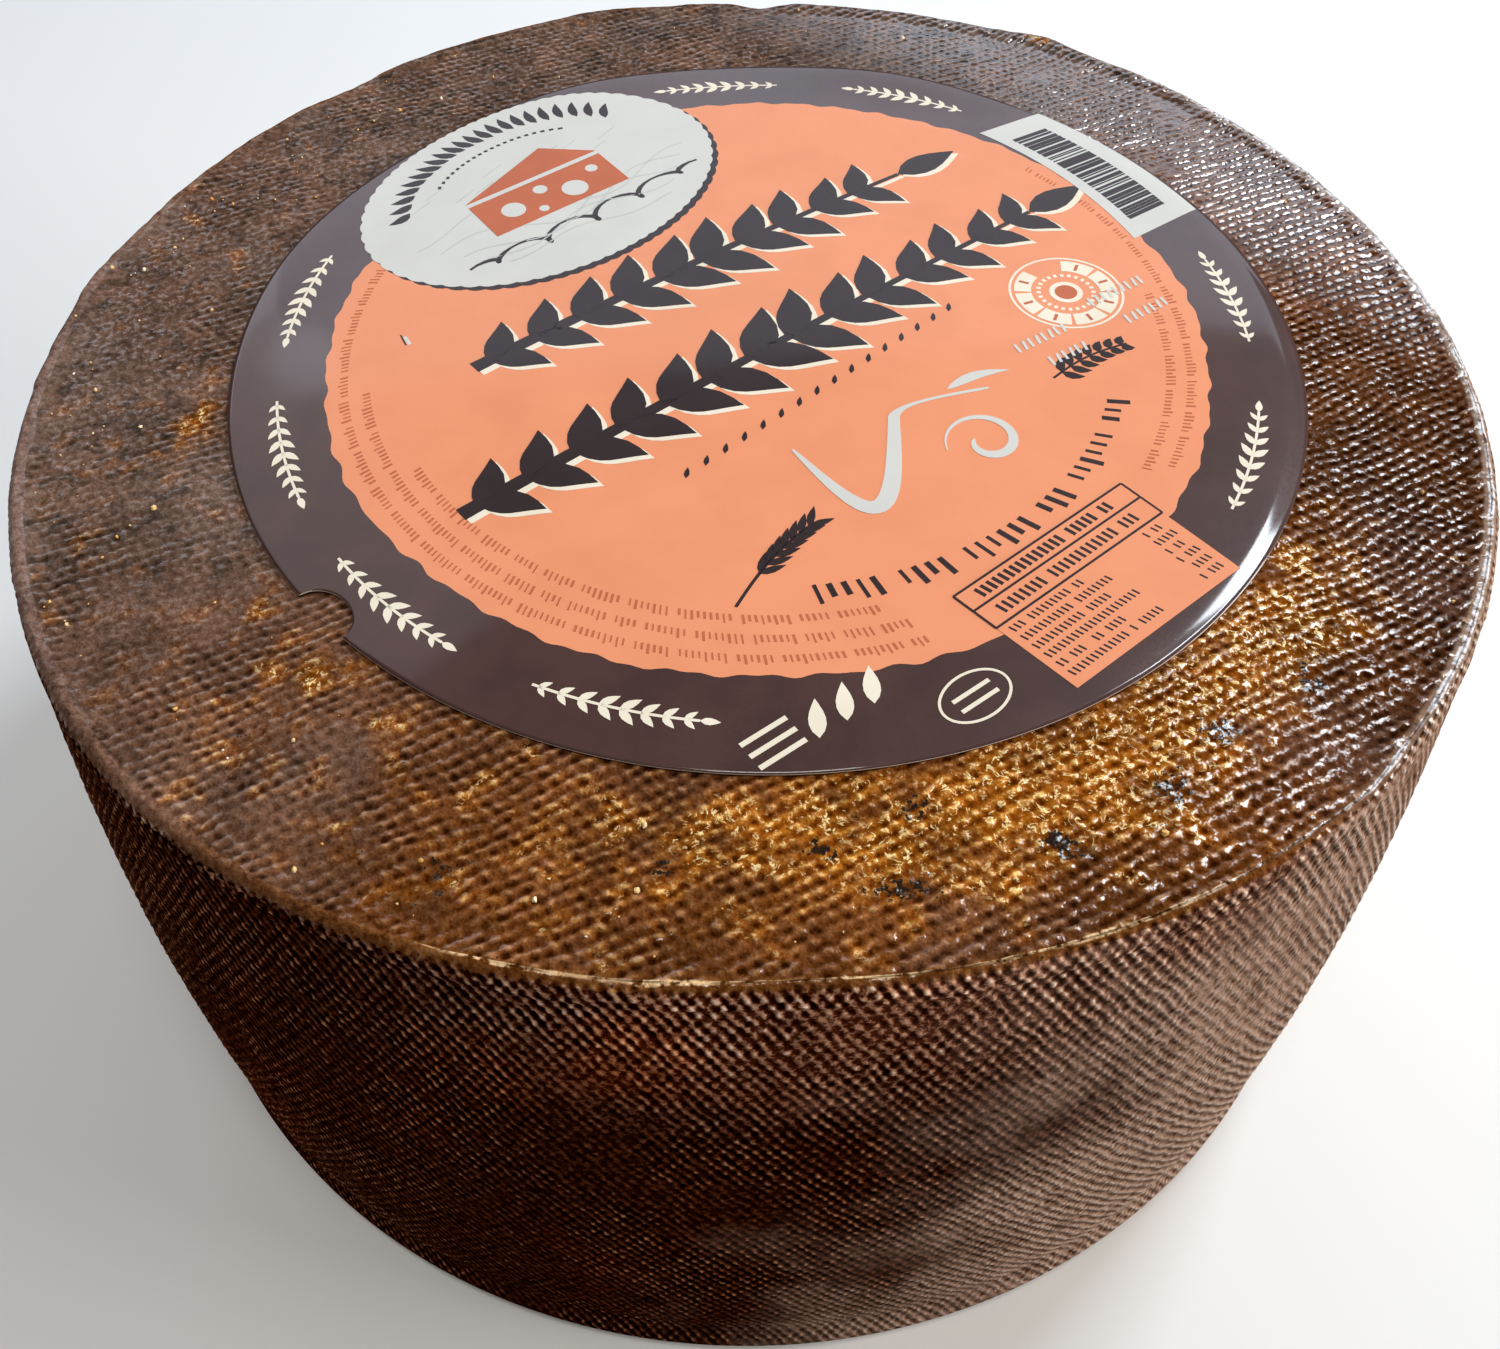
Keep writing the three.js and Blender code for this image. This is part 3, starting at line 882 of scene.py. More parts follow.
def paperRise(x, y):
    # how far the sheet stands up: slow waves, the lifted places at its edge, and the edge bent down
    inside = paper["radius"] - np.hypot(x, y)
    angle = np.degrees(np.arctan2(y, x))
    rise = 0.03 * (1 + np.sin(x / 9.0 + 0.7 * np.sin(y / 13.0)) * np.cos(y / 11.0))
    for at, wide, reach, up in paper["lifts"]:
        across = bell(np.radians(turnBetween(at, angle)) * paper["radius"], wide)
        rise = rise + 0.9 * up * across * bell(inside, reach)
    at, wide, up, reach = paper["bent"]
    bent = up * bell(turnBetween(at, angle), wide) * smoothStep(inside, 0, reach) * smoothStep(inside, 30, 6)
    return rise + bent


def paperPoints(x, y, above):
    # a place on the sheet, in its own millimetres from its middle, with a height above its upper face
    z = paper["under"] + paper["thick"] + paperRise(x, y) + above
    return np.stack([x + paper["middle"][0], y + paper["middle"][1], z + 0 * x], axis=-1)


def sheetAngles():
    # even steps round the disc, and closer ones at the bite
    at, wide, _ = paper["notch"]
    half = math.degrees(wide / 2 / paper["radius"])
    even = 360 * np.arange(paper["turns"]) / paper["turns"]
    clear = even[np.abs(turnBetween(at, even)) > half * 1.1]
    bite = at + 360 + half * np.sin(np.linspace(-np.pi / 2, np.pi / 2, paper["notchSteps"]))
    return np.sort(np.concatenate([clear, bite]))


def buildSheet(salmon, ring, cut):
    # rings out to the deckled line, on to the edge, down over it and back under, closed at both middles
    angle = sheetAngles()
    turn = np.radians(angle)
    inner = np.linspace(0, 1, paper["fieldRings"])[1:]
    outer = 1 - (1 - np.linspace(0, 1, paper["ringRings"] + 1)[1:]) ** 1.2
    edge, line = paperEdge(angle), fieldEdge(angle)
    radii = np.array([line * share for share in inner] + [line + (edge - line) * share for share in outer])
    x, y = radii * np.cos(turn), radii * np.sin(turn)
    top = paperPoints(x, y, 0)
    count = len(angle)
    shares = np.array(paper["underShares"])[:, None]
    under = paperPoints(edge * shares * np.cos(turn), edge * shares * np.sin(turn), -paper["thick"])
    rows = len(top) + len(under)
    points = np.concatenate([top.reshape(-1, 3), under.reshape(-1, 3),
                             paperPoints(np.zeros(2), np.zeros(2), np.array([0, -paper["thick"]]))])
    quads = gridQuads(rows, count, closed=True)[:, ::-1]
    first = np.arange(count)
    last = (rows - 1) * count + first
    fans = [np.stack([np.full(count, rows * count), first, np.roll(first, -1)], -1),
            np.stack([last, np.full(count, rows * count + 1), np.roll(last, -1)], -1)]
    band = np.repeat(np.arange(rows - 1), count)
    kind = np.where(band < len(inner) - 1, 0, np.where(band < len(radii) - 1, 1, 2))
    kind = np.concatenate([kind, np.zeros(count), np.full(count, 2)])
    piece = addMesh("label_sheet", points, [quads] + fans, faceMaterial=kind)
    dress(piece, "label", "label_paper", salmon, ring, cut)
    print("label sheet made", len(points))


def paperMaterial(name, color, shade, rough, coat=0.0):
    # a printed paper: its colour mottled a little, faint fibres in the bump
    n = Nodes(name)
    place = n.add("ShaderNodeTexCoord", output=3)
    mottle = n.noise(place, 120, 4)
    fibre = n.noise(place, 2600, 2)
    relief = n.plus(n.times(fibre, 0.06), n.noise(place, 70, 1))
    return n.finish(Base_Color=n.mix(n.step(mottle, 0.3, 0.75), color, shade),
                    Roughness=n.step(fibre, 0.3, 0.8, rough - 0.05, rough + 0.08), Specular_IOR_Level=0.12,
                    Coat_Weight=coat, Coat_Roughness=0.07, Normal=n.bump(0.35, 0.0003, relief))


inks = {
    "salmon": paperMaterial("salmon_print", (0.77, 0.282, 0.141, 1), (0.73, 0.262, 0.128, 1), 0.5, 0.2),
    "ring": paperMaterial("dark_ring_print", (0.070, 0.033, 0.027, 1), (0.052, 0.024, 0.021, 1), 0.42, 0.7),
    "cut": paperMaterial("paper_edge", (0.62, 0.52, 0.46, 1), (0.55, 0.46, 0.40, 1), 0.7),
    "white": paperMaterial("white_print", (0.60, 0.59, 0.55, 1), (0.57, 0.56, 0.52, 1), 0.5, 0.15),
    "cream": paperMaterial("cream_print", (0.80, 0.72, 0.58, 1), (0.74, 0.66, 0.52, 1), 0.5, 0.1),
    "dark": paperMaterial("dark_print", (0.030, 0.017, 0.017, 1), (0.024, 0.013, 0.013, 1), 0.45, 0.3),
    "terracotta": paperMaterial("terracotta_print", (0.50, 0.13, 0.055, 1), (0.45, 0.115, 0.05, 1), 0.5, 0.1),
    "grey": paperMaterial("grey_print", (0.52, 0.52, 0.49, 1), (0.46, 0.46, 0.44, 1), 0.5, 0.1),
}

buildSheet(inks["salmon"], inks["ring"], inks["cut"])

# The print: patches of ink a few hundredths of a millimetre thick, in millimetres from the sheet's middle

printForm = {
    "firstLayer": 0.03,       # height of the lowest ink above the sheet
    "nextLayer": 0.022,       # each ink printed over another stands this much higher
    "shade": (0.75, -0.62),   # how far the pale edge of the branches is shifted
}

inkPatches = {ink: [] for ink in inks}


def addPatch(ink, layer, points, triangles):
    # triangles are turned to face up: their signed area in the sheet is made positive
    a, b, c = (points[triangles[:, i]] for i in range(3))
    area = (b[:, 0] - a[:, 0]) * (c[:, 1] - a[:, 1]) - (b[:, 1] - a[:, 1]) * (c[:, 0] - a[:, 0])
    triangles = np.where(area[:, None] < 0, triangles[:, ::-1], triangles)
    above = printForm["firstLayer"] + printForm["nextLayer"] * layer
    inkPatches[ink].append((points, triangles, above))


def gridPatch(ink, layer, grid):
    # a patch from a grid of places
    addPatch(ink, layer, grid.reshape(-1, 2), halves(gridQuads(*grid.shape[:2])))


def stroke(ink, layer, path, half, across=2):
    # a band along a path, half as wide on each side as it says at each point
    tangent = np.gradient(path, axis=0)
    tangent = tangent / np.linalg.norm(tangent, axis=1, keepdims=True)
    normal = np.stack([-tangent[:, 1], tangent[:, 0]], axis=-1)
    share = np.linspace(1, -1, across)[None, :, None]
    half = np.broadcast_to(half, len(path))
    gridPatch(ink, layer, path[:, None] + share * (normal * half[:, None])[:, None])


def line(ink, layer, start, end, width, steps=None):
    # a straight stroke of one width
    start, end = np.array(start, float), np.array(end, float)
    steps = steps or max(2, int(np.hypot(*(end - start)) / 2.5) + 1)
    stroke(ink, layer, start + np.linspace(0, 1, steps)[:, None] * (end - start), width / 2)


def arcPath(radius, start, end, step=1.2):
    # places along a circle about the label's middle
    count = max(2, int(abs(math.radians(end - start)) * radius / step) + 1)
    turn = np.radians(np.linspace(start, end, count))
    return radius * np.stack([np.cos(turn), np.sin(turn)], axis=-1)


def disc(ink, layer, middle, radiusAt, rings=3, turns=24):
    # rings of a closed outline round a middle point; radiusAt gives its radius at an angle in radians
    turn = 2 * np.pi * np.arange(turns) / turns
    radius = radiusAt(turn) * np.linspace(1, 0, rings + 1)[:-1, None]
    ring = np.stack([radius * np.cos(turn), radius * np.sin(turn)], axis=-1) + middle
    quads = gridQuads(rings, turns, closed=True)
    last = (rings - 1) * turns + np.arange(turns)
    fan = np.stack([last, np.roll(last, -1), np.full(turns, rings * turns)], -1)
    points = np.concatenate([ring.reshape(-1, 2), [middle]])
    addPatch(ink, layer, points, np.concatenate([halves(quads), fan]))


def leaf(ink, layer, start, angle, length, width, bend=0.0, steps=7):
    # a stroke whose width swells as sin(pi * t ^ 0.8) and whose rib bends aside as bend * sin(pi * t)
    t = np.linspace(0, 1, steps)
    turn = math.radians(angle)
    forward, aside = np.array([math.cos(turn), math.sin(turn)]), np.array([-math.sin(turn), math.cos(turn)])
    path = np.array(start) + np.outer(t * length, forward) + np.outer(bend * np.sin(np.pi * t), aside)
    stroke(ink, layer, path, 0.5 * width * np.sin(np.pi * t ** 0.8) + 0.02)


def turnedBy(points, angle, middle):
    # points turned about the origin, then moved to the middle
    turn = math.radians(angle)
    return np.asarray(points, float) @ np.array([[math.cos(turn), math.sin(turn)],
                                                 [-math.sin(turn), math.cos(turn)]]) + middle


branches = {
    "rows": (((-39, -8), (-10, 16.5), (21, 38)), ((-37, -35), (-3, -6), (40, 27.5))),
    "leafLength": 11.4,
    "leafWidth": 5.2,
    "leafAngle": 44,
    "spacing": 7.1,
    "stem": 1.1,
}


def printBranches():
    # two rising branches: a bent stem with leaves in pairs, dark, over a pale copy shifted down to the right
    for ink, layer, shift in (("cream", 0, np.array(printForm["shade"])), ("dark", 1, np.zeros(2))):
        for start, middle, end in branches["rows"]:
            start, middle, end = (np.array(place, float) for place in (start, middle, end))
            t = np.linspace(0, 1, 40)[:, None]
            path = (1 - t) ** 2 * start + 2 * t * (1 - t) * middle + t ** 2 * end + shift
            along = np.concatenate([[0], np.cumsum(np.linalg.norm(np.diff(path, axis=0), axis=1))])
            stroke(ink, layer, path, branches["stem"] * (1 - 0.7 * along / along[-1]))
            places = np.arange(2.0, along[-1] - 3, branches["spacing"])
            for i, place in enumerate(places):
                at = np.array([np.interp(place, along, path[:, k]) for k in range(2)])
                ahead = np.array([np.interp(place + 1, along, path[:, k]) for k in range(2)]) - at
                heading = math.degrees(math.atan2(ahead[1], ahead[0]))
                size = 1 - 0.3 * abs(2 * place / along[-1] - 0.9)
                for hand in (1, -1):
                    angle = heading + hand * (branches["leafAngle"] + 5 * math.sin(3.0 * i))
                    leaf(ink, layer, at + 0.3 * ahead * (hand < 0), angle, branches["leafLength"] * size,
                         branches["leafWidth"] * size, -0.9 * hand)
            heading = math.degrees(math.atan2(*(path[-1] - path[-3])[::-1]))
            leaf(ink, layer, path[-1], heading, branches["leafLength"], branches["leafWidth"] * 0.9)


badge = {
    "middle": (-34.3, 35.9),
    "long": 30.1,
    "short": 22.0,
    "tilt": 45,
    "scallops": 66,
    "shadow": (0.9, -0.75),
    # the wedge's front, its top, and its holes with their radii, before it is turned and moved
    "front": ((-12.5, 1.2), (11.5, 2.6), (11.5, -6.4), (-12.5, -7.8)),
    "lid": ((-12.5, 2.2), (11.5, 3.6), (4.5, 9.6), (-11.0, 2.9)),
    "holes": ((-7.2, -3.2, 1.9), (-1.2, -0.8, 1.15), (3.4, -3.6, 2.1), (8.3, -0.4, 1.0), (-3.2, -5.6, 0.8)),
    "wedgeTurn": 36,
    "wedgeShift": (0.3, -0.4),
}


def badgeRadius(turn, share=1.0):
    # an ellipse's radius at an angle, with small scallops along it
    a, b = badge["long"], badge["short"]
    local = turn - math.radians(badge["tilt"])
    radius = a * b / np.sqrt((b * np.cos(local)) ** 2 + (a * np.sin(local)) ** 2)
    return share * radius * (1 - 0.012 + 0.012 * np.abs(np.sin(badge["scallops"] / 2 * turn)))


def badgePlace(angle, share):
    # a place at an angle about the badge's middle, at a share of the ellipse's radius
    turn = np.radians(angle)
    radius = share * badgeRadius(turn)
    return np.stack([radius * np.cos(turn), radius * np.sin(turn)], axis=-1) + badge["middle"]


def printBadge():
    # a pale oval with a wedge of cheese over faint hills, a garland above it and a flourish below
    middle = np.array(badge["middle"])
    disc("dark", 0, middle + badge["shadow"], badgeRadius, 14, 264)
    disc("white", 1, middle, badgeRadius, 16, 264)
    t = np.linspace(0, 1, 26)
    for i in range(5):
        x = -24 + 48 * t
        y = -4 - 2.6 * i + (5.5 - i) * np.sin(2.2 * np.pi * t + 1.3 * i) * np.sin(np.pi * t)
        stroke("grey", 2, turnedBy(np.stack([x * (1 - 0.1 * i), y], -1), 38, middle), 0.13)
    for i in range(11):
        start = turnedBy((-20 + 3.4 * i, 5.0 + 2.2 * math.sin(1.9 * i)), 38, middle)
        line("grey", 2, start, start + turnedBy((4.0, 1.4), 38, (0, 0)), 0.2)
    wedgeMiddle = middle + badge["wedgeShift"]
    s = np.linspace(0, 1, 12)[:, None, None]
    v = np.linspace(0, 1, 6)[None, :, None]
    for part in ("front", "lid"):
        a, b, c, d = turnedBy(badge[part], badge["wedgeTurn"], wedgeMiddle)
        gridPatch("terracotta", 3, (1 - s) * ((1 - v) * d + v * a) + s * ((1 - v) * c + v * b))
    for x, y, size in badge["holes"]:
        place = turnedBy((x, y), badge["wedgeTurn"], wedgeMiddle)
        disc("white", 4, place, lambda turn: size + 0 * turn, 2, 20)
    for angle in np.arange(66, 208, 6.5):
        at = badgePlace(angle, 0.74)
        leaf("dark", 2, at, angle + 28, 4.1, 1.5, 0.4, 6)
    for angle in np.arange(84, 186, 5.2):
        line("dark", 2, badgePlace(angle, 0.62), badgePlace(angle + 2.6, 0.62), 0.5, 2)
    t = np.linspace(0, 1, 70)
    curl = np.stack([-21 + 43 * t + 1.8 * np.sin(10 * np.pi * t), -12.2 + 4.4 * (t - 0.5) ** 2
                     + 1.7 * np.cos(10 * np.pi * t) * np.sin(np.pi * t) ** 0.5], -1)
    stroke("dark", 2, turnedBy(curl, 42, middle), 0.2 + 0.22 * np.sin(10 * np.pi * t) ** 2)


panel = {
    "corners": ((35.2, 49.8), (45.6, 55.7), (65.3, 28.0), (54.5, 20.4)),
    "bars": 34,
    "barSpan": (0.16, 0.72),
}


def panelPlace(along, across):
    # between the panel's inner and outer edges, both bowed to follow the label's rim
    inner1, outer1, outer2, inner2 = (np.array(corner) for corner in panel["corners"])
    along, across = np.asarray(along, float)[..., None], np.asarray(across, float)[..., None]
    inner = inner1 + along * (inner2 - inner1)
    outer = outer1 + along * (outer2 - outer1)
    outward = np.array([math.cos(math.radians(37)), math.sin(math.radians(37))])
    bow = 4 * along * (1 - along)
    inner = inner + outward * bow * 2.3
    outer = outer + outward * bow * 1.9
    return inner + across * (outer - inner)


def printPanel():
    # a white panel with plain bars of three widths
    along, across = np.meshgrid(np.linspace(0, 1, 34), np.linspace(0, 1, 12), indexing="ij")
    gridPatch("white", 1, panelPlace(along, across))
    rng = np.random.default_rng(7)
    widths = rng.choice([0.3, 0.55, 0.85], panel["bars"])
    gaps = rng.choice([0.35, 0.6, 0.8], panel["bars"])
    place = np.cumsum(widths + gaps)
    place = 0.14 + 0.74 * (place - place[0]) / (place[-1] - place[0])
    low, high = panel["barSpan"]
    for at, width in zip(place, widths):
        line("dark", 2, panelPlace(at, low), panelPlace(at, high), width, 6)


dial = {"middle": (42.4, 7.8), "radius": 7.9, "open": 2}


def printDial():
    # a ring, eight segments with one left open, a ring of ticks and a small hub
    middle, size = np.array(dial["middle"]), dial["radius"]

    def arc(ink, layer, radius, start, end, width, across=2):
        count = max(3, int(abs(math.radians(end - start)) * radius / 0.6) + 1)
        turn = np.radians(np.linspace(start, end, count))
        stroke(ink, layer, radius * np.stack([np.cos(turn), np.sin(turn)], -1) + middle, width / 2, across)

    def spoke(ink, layer, angle, inner, outer, width):
        ends = turnedBy([(inner * size, 0), (outer * size, 0)], angle, middle)
        line(ink, layer, *ends, width, 2)

    arc("cream", 0, size, 0, 360, 0.35)
    for i in range(8):
        if i != dial["open"]:
            arc("cream", 0, 0.77 * size, 45 * i + 2, 45 * i + 43, 0.3 * size, 4)
            spoke("terracotta", 1, 45 * i + 22.5, 0.68, 0.86, 0.45)
    for i in range(24):
        spoke("cream", 0, 15 * i, 0.45, 0.53, 0.5)
    disc("cream", 0, middle, lambda turn: 0.3 * size + 0 * turn, 2, 28)
    disc("terracotta", 1, middle, lambda turn: 0.2 * size + 0 * turn, 2, 24)


sprigs = {
    "angles": (173, -159, -132, -105, 96, 68, 5, -24),
    "radius": 65.4,
    "length": 9.4,             # from its middle to each end
    "leaves": (2.7, 1.05),
}


def printSprig(angle):
    # a cream sprig along the ring: a stem on an arc with small leaves in pairs, smaller towards its ends
    radius = sprigs["radius"]
    half = math.degrees(sprigs["length"] / radius)
    stroke("cream", 0, arcPath(radius, angle - half, angle + half, 1.0), 0.17)
    for share in np.linspace(-0.92, 0.82, 8):
        at = arcPath(radius, angle + share * half, angle + share * half + 0.1)[0]
        size = 1 - 0.45 * abs(share)
        long, wide = sprigs["leaves"]
        for side in (1, -1):
            leaf("cream", 0, at, angle + share * half + 90 + side * 40, long * size, wide * size, 0.0, 5)
    tip = arcPath(radius, angle + half, angle + half + 0.1)[0]
    leaf("cream", 0, tip, angle + half + 90, 2.2, 0.9, 0.0, 5)


# arcs of ticks: ink, radius, first and last angle, how tall and wide, spacing, and how many stand together
tickArcs = (
    ("terracotta", 57.0, 166, 288, 1.3, 0.26, 0.72, (6, 12)),
    ("terracotta", 54.2, 194, 287, 1.3, 0.26, 0.72, (5, 13)),
    ("terracotta", 51.4, 212, 285, 1.3, 0.26, 0.72, (6, 11)),
    ("terracotta", 57.0, -29, 44, 1.2, 0.24, 0.7, (5, 12)),
    ("terracotta", 54.3, -31, 8, 1.2, 0.24, 0.7, (6, 12)),
    ("dark", 48.0, -84, -17, 2.9, 0.62, 1.75, (4, 8)),
)
tickSlant = 12


def ticksAlong(ink, radius, start, end, tall, wide, step, together):
    # short slanted ticks along an arc, with a gap after each group
    count = int(abs(math.radians(end - start)) * radius / step)
    rng = np.random.default_rng(int(radius * 10 + end))
    left = rng.integers(*together)
    inner = radius - tall / 2
    for i in range(count):
        left -= 1
        if left == 0:
            left = rng.integers(*together)
            continue
        angle = start + (end - start) * i / count
        size = tall * rng.choice([0.7, 0.75, 1.0])
        tilt = math.degrees(size * math.tan(math.radians(tickSlant)) / radius)
        foot = arcPath(inner, angle, angle + 0.1)[0]
        head = arcPath(inner + size, angle + tilt, angle + tilt + 0.1)[0]
        line(ink, 0, foot, head, wide * rng.choice([0.8, 1.2]), 2)


def printFlourish():
    # a white brush stroke that dips, rises and curls, with a short one beside it
    t = np.linspace(0, 1, 60)
    swell = np.sin(np.pi * t) ** 0.6 * (0.55 + 0.45 * np.sin(5.4 * t + 0.4))
    x = 3 + 26 * t + 3.2 * np.sin(2 * np.pi * t)
    y = -24 - 13 * np.sin(np.pi * np.clip(t * 1.9, 0, 1)) + 11.5 * t
    stroke("white", 1, np.stack([x, y], -1), 0.15 + 1.15 * swell, 4)
    turn = np.radians(np.linspace(200, -190, 44))
    curl = np.linspace(5.4, 1.5, 44)[:, None] * np.stack([np.cos(turn), np.sin(turn)], -1) + (27.5, -22.5)
    stroke("white", 1, curl, np.linspace(0.25, 1.0, 44) * np.sin(np.linspace(0.3, 3.0, 44)), 3)
    leaf("white", 1, (23.5, -12.8), 24, 9.5, 1.5, 0.9, 12)


table = {
    "corners": ((20.6, -48.2), (42.9, -30.4), (54.0, -44.2), (32.5, -61.0)),
    # each ruled line's ends, as shares across and down
    "rules": (((0, 0), (1, 0)), ((0, 0), (0, 0.36)), ((1, 0), (1, 0.36)), ((0, 0.17), (1, 0.17)),
              ((0, 0.36), (1, 0.36))),
    # the two rows at its head: how far down, how tall, and the ticks' width
    "heads": ((0.085, 0.085, 0.5), (0.265, 0.085, 0.42)),
    "rows": 6,
    "firstRow": 0.43,
    "rowStep": 0.094,
    "rowTall": 0.055,
    "rowWidth": 0.26,
    "filled": 0.86,     # the share of the ticks that is printed
}


def tablePlace(across, down):
    # a place in the box, from its upper left corner
    topLeft, topRight, lowRight, lowLeft = (np.array(corner) for corner in table["corners"])
    across, down = np.asarray(across, float)[..., None], np.asarray(down, float)[..., None]
    top = topLeft + across * (topRight - topLeft)
    low = lowLeft + across * (lowRight - lowLeft)
    return top + down * (low - top)


def printTable():
    # a salmon box laid over the ring, ruled at its head, with rows of ticks
    s, t = np.meshgrid(np.linspace(0, 1, 22), np.linspace(0, 1, 16), indexing="ij")
    gridPatch("salmon", 1, tablePlace(s, t))
    for start, end in table["rules"]:
        line("dark", 2, tablePlace(*start), tablePlace(*end), 0.3)
    rng = np.random.default_rng(3)
    rows = [(table["firstRow"] + table["rowStep"] * i, table["rowTall"], table["rowWidth"])
            for i in range(table["rows"])]
    for row, (down, tall, wide) in enumerate([*table["heads"], *rows]):
        head = row < len(table["heads"])
        spans = [(0.09, 0.91)] if head else [(0.04, rng.uniform(0.3, 0.62)), (0.84, 0.97)]
        for first, last in spans:
            for at in np.arange(first, last, 0.033 if head else 0.026):
                if rng.random() < table["filled"]:
                    foot = tablePlace(at, down - tall / 2)
                    line("dark", 2, foot, tablePlace(at + 0.008, down + tall / 2), wide, 2)


# an ear of grain and a twig: a stem bent as a sine, with leaves in pairs from one of its points on
twigs = (
    {"long": 15, "points": 20, "bow": 1.2, "sweep": 2.4, "turn": 52, "place": (-4.0, -49.5), "half": 0.2,
     "first": 7, "heading": 50, "spread": 27, "leaf": (3.4, 1.0), "shorter": 0, "bend": 0.0},
    {"long": 13, "points": 16, "bow": 0.9, "sweep": 3, "turn": 32, "place": (37.8, -10.6), "half": 0.17,
     "first": 2, "heading": 30, "spread": 48, "leaf": (3.3, 1.35), "shorter": 0.1, "bend": 0.3},
)

smallThings = {
    "dots": ((-10.2, -29.0), (35.6, 32.6), 16),         # the first, how far to the last, and how many
    # rows of white ticks about the dial: first place and how many
    "dialTicks": (((45.8, 4.6), 9), ((34.2, -5.4), 8), ((38.4, -8.0), 6), ((50.2, 0.8), 7)),
    "dialTurn": 33,
    "markTurn": 36,
    "leafMark": (3.5, -65.5),
    "ovalMark": (21.5, -61.9),
    "oval": (4.4, 2.9),
}


def printTwig(form):
    along = np.linspace(0, form["long"], form["points"])
    aside = form["bow"] * np.sin(np.linspace(0, form["sweep"], form["points"]))
    stem = turnedBy(np.stack([along, aside], -1), form["turn"], form["place"])
    stroke("dark", 0, stem, form["half"])
    for i in range(form["first"], form["points"], 2):
        for hand in (1, -1):
            leaf("dark", 0, stem[i], form["heading"] + hand * form["spread"],
                 form["leaf"][0] - form["shorter"] * i, form["leaf"][1], form["bend"] * hand, 5)


def printMarks():
    # on the ring: three leaves beside three bars, and two bars in an oval
    turn, middle, oval = smallThings["markTurn"], np.array(smallThings["leafMark"]), smallThings["ovalMark"]
    for i in range(3):
        leaf("cream", 0, middle + turnedBy((3.7 * i, -2.1), turn, (0, 0)), turn + 58, 5.0, 1.9, 0.0, 7)
        line("cream", 0, middle + turnedBy((-7.2, 2.0 - 1.7 * i), turn, (0, 0)),
             middle + turnedBy((-1.2, 2.0 - 1.7 * i), turn, (0, 0)), 0.62)
    around = np.linspace(0, 2 * np.pi, 49)
    ring = np.stack([np.cos(around), np.sin(around)], -1) * smallThings["oval"]
    stroke("cream", 0, turnedBy(ring, turn, oval), 0.16)
    for i in range(2):
        line("cream", 0, turnedBy((-2.6, 0.7 - 1.5 * i), turn, oval),
             turnedBy((2.6, 0.7 - 1.5 * i), turn, oval), 0.5)


def printSmallThings():
    # arcs of ticks, a dotted line under the branches, two twigs, ticks about the dial, sprigs and marks
    for values in tickArcs:
        ticksAlong(*values)
    start, reach, count = smallThings["dots"]
    for i in range(count):
        leaf("dark", 0, np.array(start) + i / (count - 1) * np.array(reach), 84, 1.9, 0.7, 0.0, 4)
    for form in twigs:
        printTwig(form)
    turn = smallThings["dialTurn"]
    for base, count in smallThings["dialTicks"]:
        for i in range(count):
            at = turnedBy((1.15 * i, 0), turn, np.array(base))
            line("white", 2, at, at + turnedBy((0.35, 1.75), turn - 8 * (i % 2), (0, 0)), 0.42, 2)
    for angle in sprigs["angles"]:
        printSprig(angle)
    printMarks()
    line("white", 0, (-49.4, -1.4), (-48.4, -3.0), 0.5, 3)
    line("dark", 0, (-50.0, -1.0), (-48.9, -3.2), 0.22, 3)


def thicken(points, lower, triangles):
    # the patches, a lower copy facing down, and a wall along every edge that only one triangle uses
    count = len(points)
    edges = np.concatenate([triangles[:, [i, (i + 1) % 3]] for i in range(3)])
    key = edges.min(axis=1) * count + edges.max(axis=1)
    _, index, uses = np.unique(key, return_index=True, return_counts=True)
    free = edges[index[uses == 1]]
    walls = np.stack([free[:, 1], free[:, 0], free[:, 0] + count, free[:, 1] + count], axis=-1)
    return np.concatenate([points, lower]), [triangles, triangles[:, ::-1] + count, walls]


def buildPrint():
    printBranches()
    printBadge()
    printPanel()
    printDial()
    printFlourish()
    printTable()
    printSmallThings()
    for ink, patches in inkPatches.items():
        if not patches:
            continue
        starts = np.cumsum([0] + [len(points) for points, _, _ in patches])
        flat = np.concatenate([points for points, _, _ in patches])
        above = np.concatenate([np.full(len(points), height) for points, _, height in patches])
        triangles = np.concatenate([faces + start for (_, faces, _), start in zip(patches, starts)])
        upper = paperPoints(flat[:, 0], flat[:, 1], above)
        lower = paperPoints(flat[:, 0], flat[:, 1], np.full(len(flat), -0.03))
        points, faces = thicken(upper, lower, triangles)
        piece = addMesh(f"label_{ink}_print", points, faces, smooth=False)
        dress(piece, "label", "label_paper", inks[ink])
        print(ink, "print made", sum(len(part) for part in faces))


buildPrint()

# Camera, light and floor

view = {
    "place": (0.00019, -0.15047, 0.21885),
    "pitch": 44.95,
    "roll": -0.297,
    "lens": 33.92,
    "shift": -0.1297,
}


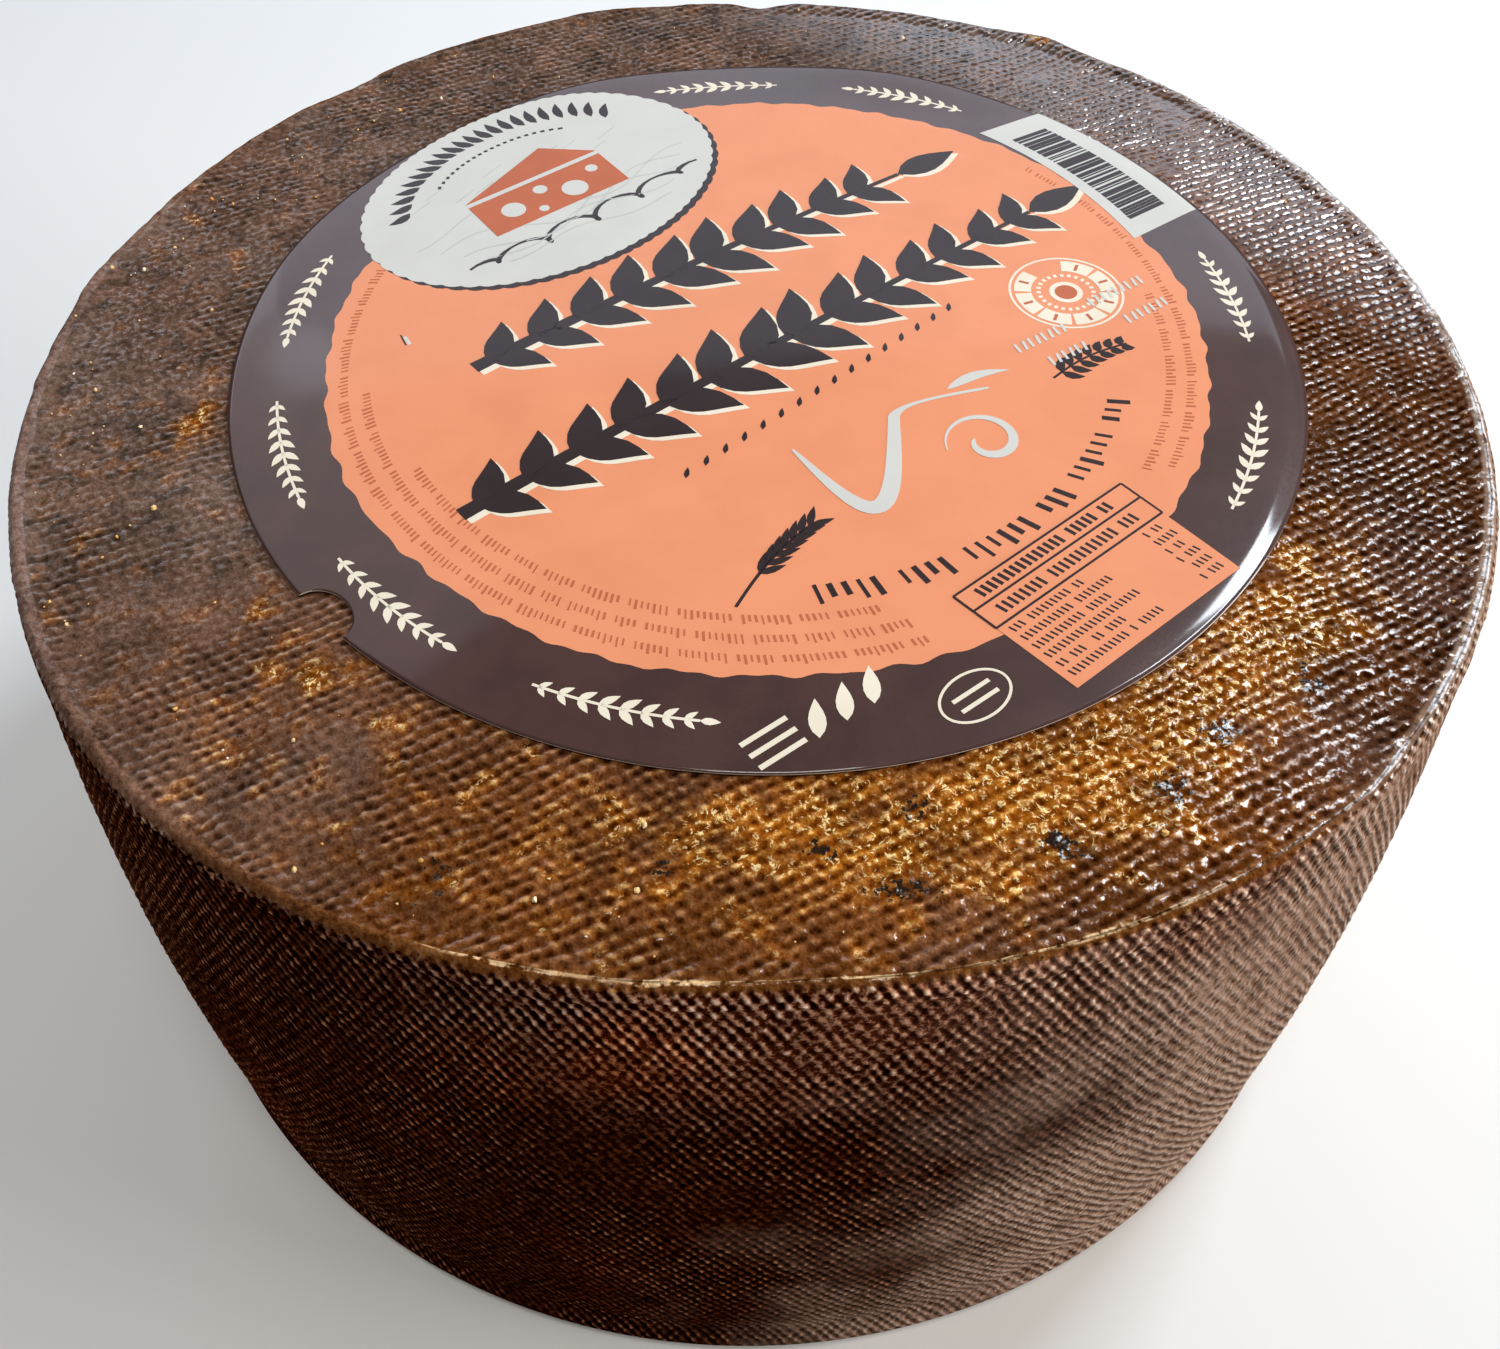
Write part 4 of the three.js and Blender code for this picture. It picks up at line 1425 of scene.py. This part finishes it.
def addCamera():
    data = bpy.data.cameras.new("camera")
    data.lens = view["lens"]
    data.sensor_width = 36
    data.shift_y = view["shift"]
    data.clip_start = 0.01
    data.clip_end = 20
    camera = bpy.data.objects.new("camera", data)
    turned = Euler((math.radians(view["pitch"]), 0, 0)).to_quaternion()
    rolled = Euler((0, 0, math.radians(view["roll"]))).to_quaternion()
    camera.rotation_mode = "QUATERNION"
    camera.rotation_quaternion = turned @ rolled
    camera.location = view["place"]
    bpy.context.scene.collection.objects.link(camera)
    bpy.context.scene.camera = camera


# azimuth, height in degrees, distance in metres, size, power and colour
lights = {
    "key": (40, 51, 1.0, (0.25, 0.25), 6.6, (0.84, 0.92, 1.0)),
    "back": (95, 28, 1.3, (1.7, 0.6), 6.2, (0.74, 0.84, 1.0)),
    "left": (138, 42, 1.3, (0.9, 0.6), 1.8, (0.95, 0.94, 1.0)),
    "over": (-85, 74, 1.0, (0.3, 0.3), 4.3, (1.0, 0.95, 0.88)),
    "right": (-8, 11, 1.0, (0.5, 0.3), 8.5, (1.0, 0.97, 0.94)),
}
lightTarget = 0.08      # metres above the floor


def addLight(name, azimuth, height, distance, size, power, color):
    # a soft box at an azimuth and height round the wheel, aimed at its middle
    azimuth, height = math.radians(azimuth), math.radians(height)
    out, up = distance * math.cos(height), lightTarget + distance * math.sin(height)
    data = bpy.data.lights.new(name, "AREA")
    data.shape = "RECTANGLE"
    data.size, data.size_y = size
    data.energy = power
    data.color = color
    lamp = bpy.data.objects.new(name, data)
    lamp.location = (out * math.cos(azimuth), out * math.sin(azimuth), up)
    lamp.rotation_euler = (math.radians(90) - height, 0, azimuth + math.radians(90))
    bpy.context.scene.collection.objects.link(lamp)


def addFloor():
    corners = np.array([[-4, -4, 0], [4, -4, 0], [4, 4, 0], [-4, 4, 0]]) * 1000.0
    floor = addMesh("floor", corners, [np.array([[0, 1, 2, 3]])])
    floor.data.materials.append(Nodes("pale_floor").finish(Base_Color=(0.80, 0.80, 0.79, 1), Roughness=0.9))


def addWorld():
    world = bpy.data.worlds.new("studio")
    world.use_nodes = True
    background = world.node_tree.nodes["Background"]
    background.inputs["Color"].default_value = (0.95, 0.97, 1.0, 1)
    background.inputs["Strength"].default_value = 0.05
    bpy.context.scene.world = world


addCamera()
for name, values in lights.items():
    addLight(name + "_light", *values)
addFloor()
addWorld()
bpy.context.scene.view_settings.view_transform = "Standard"
print("camera, lights and floor made")
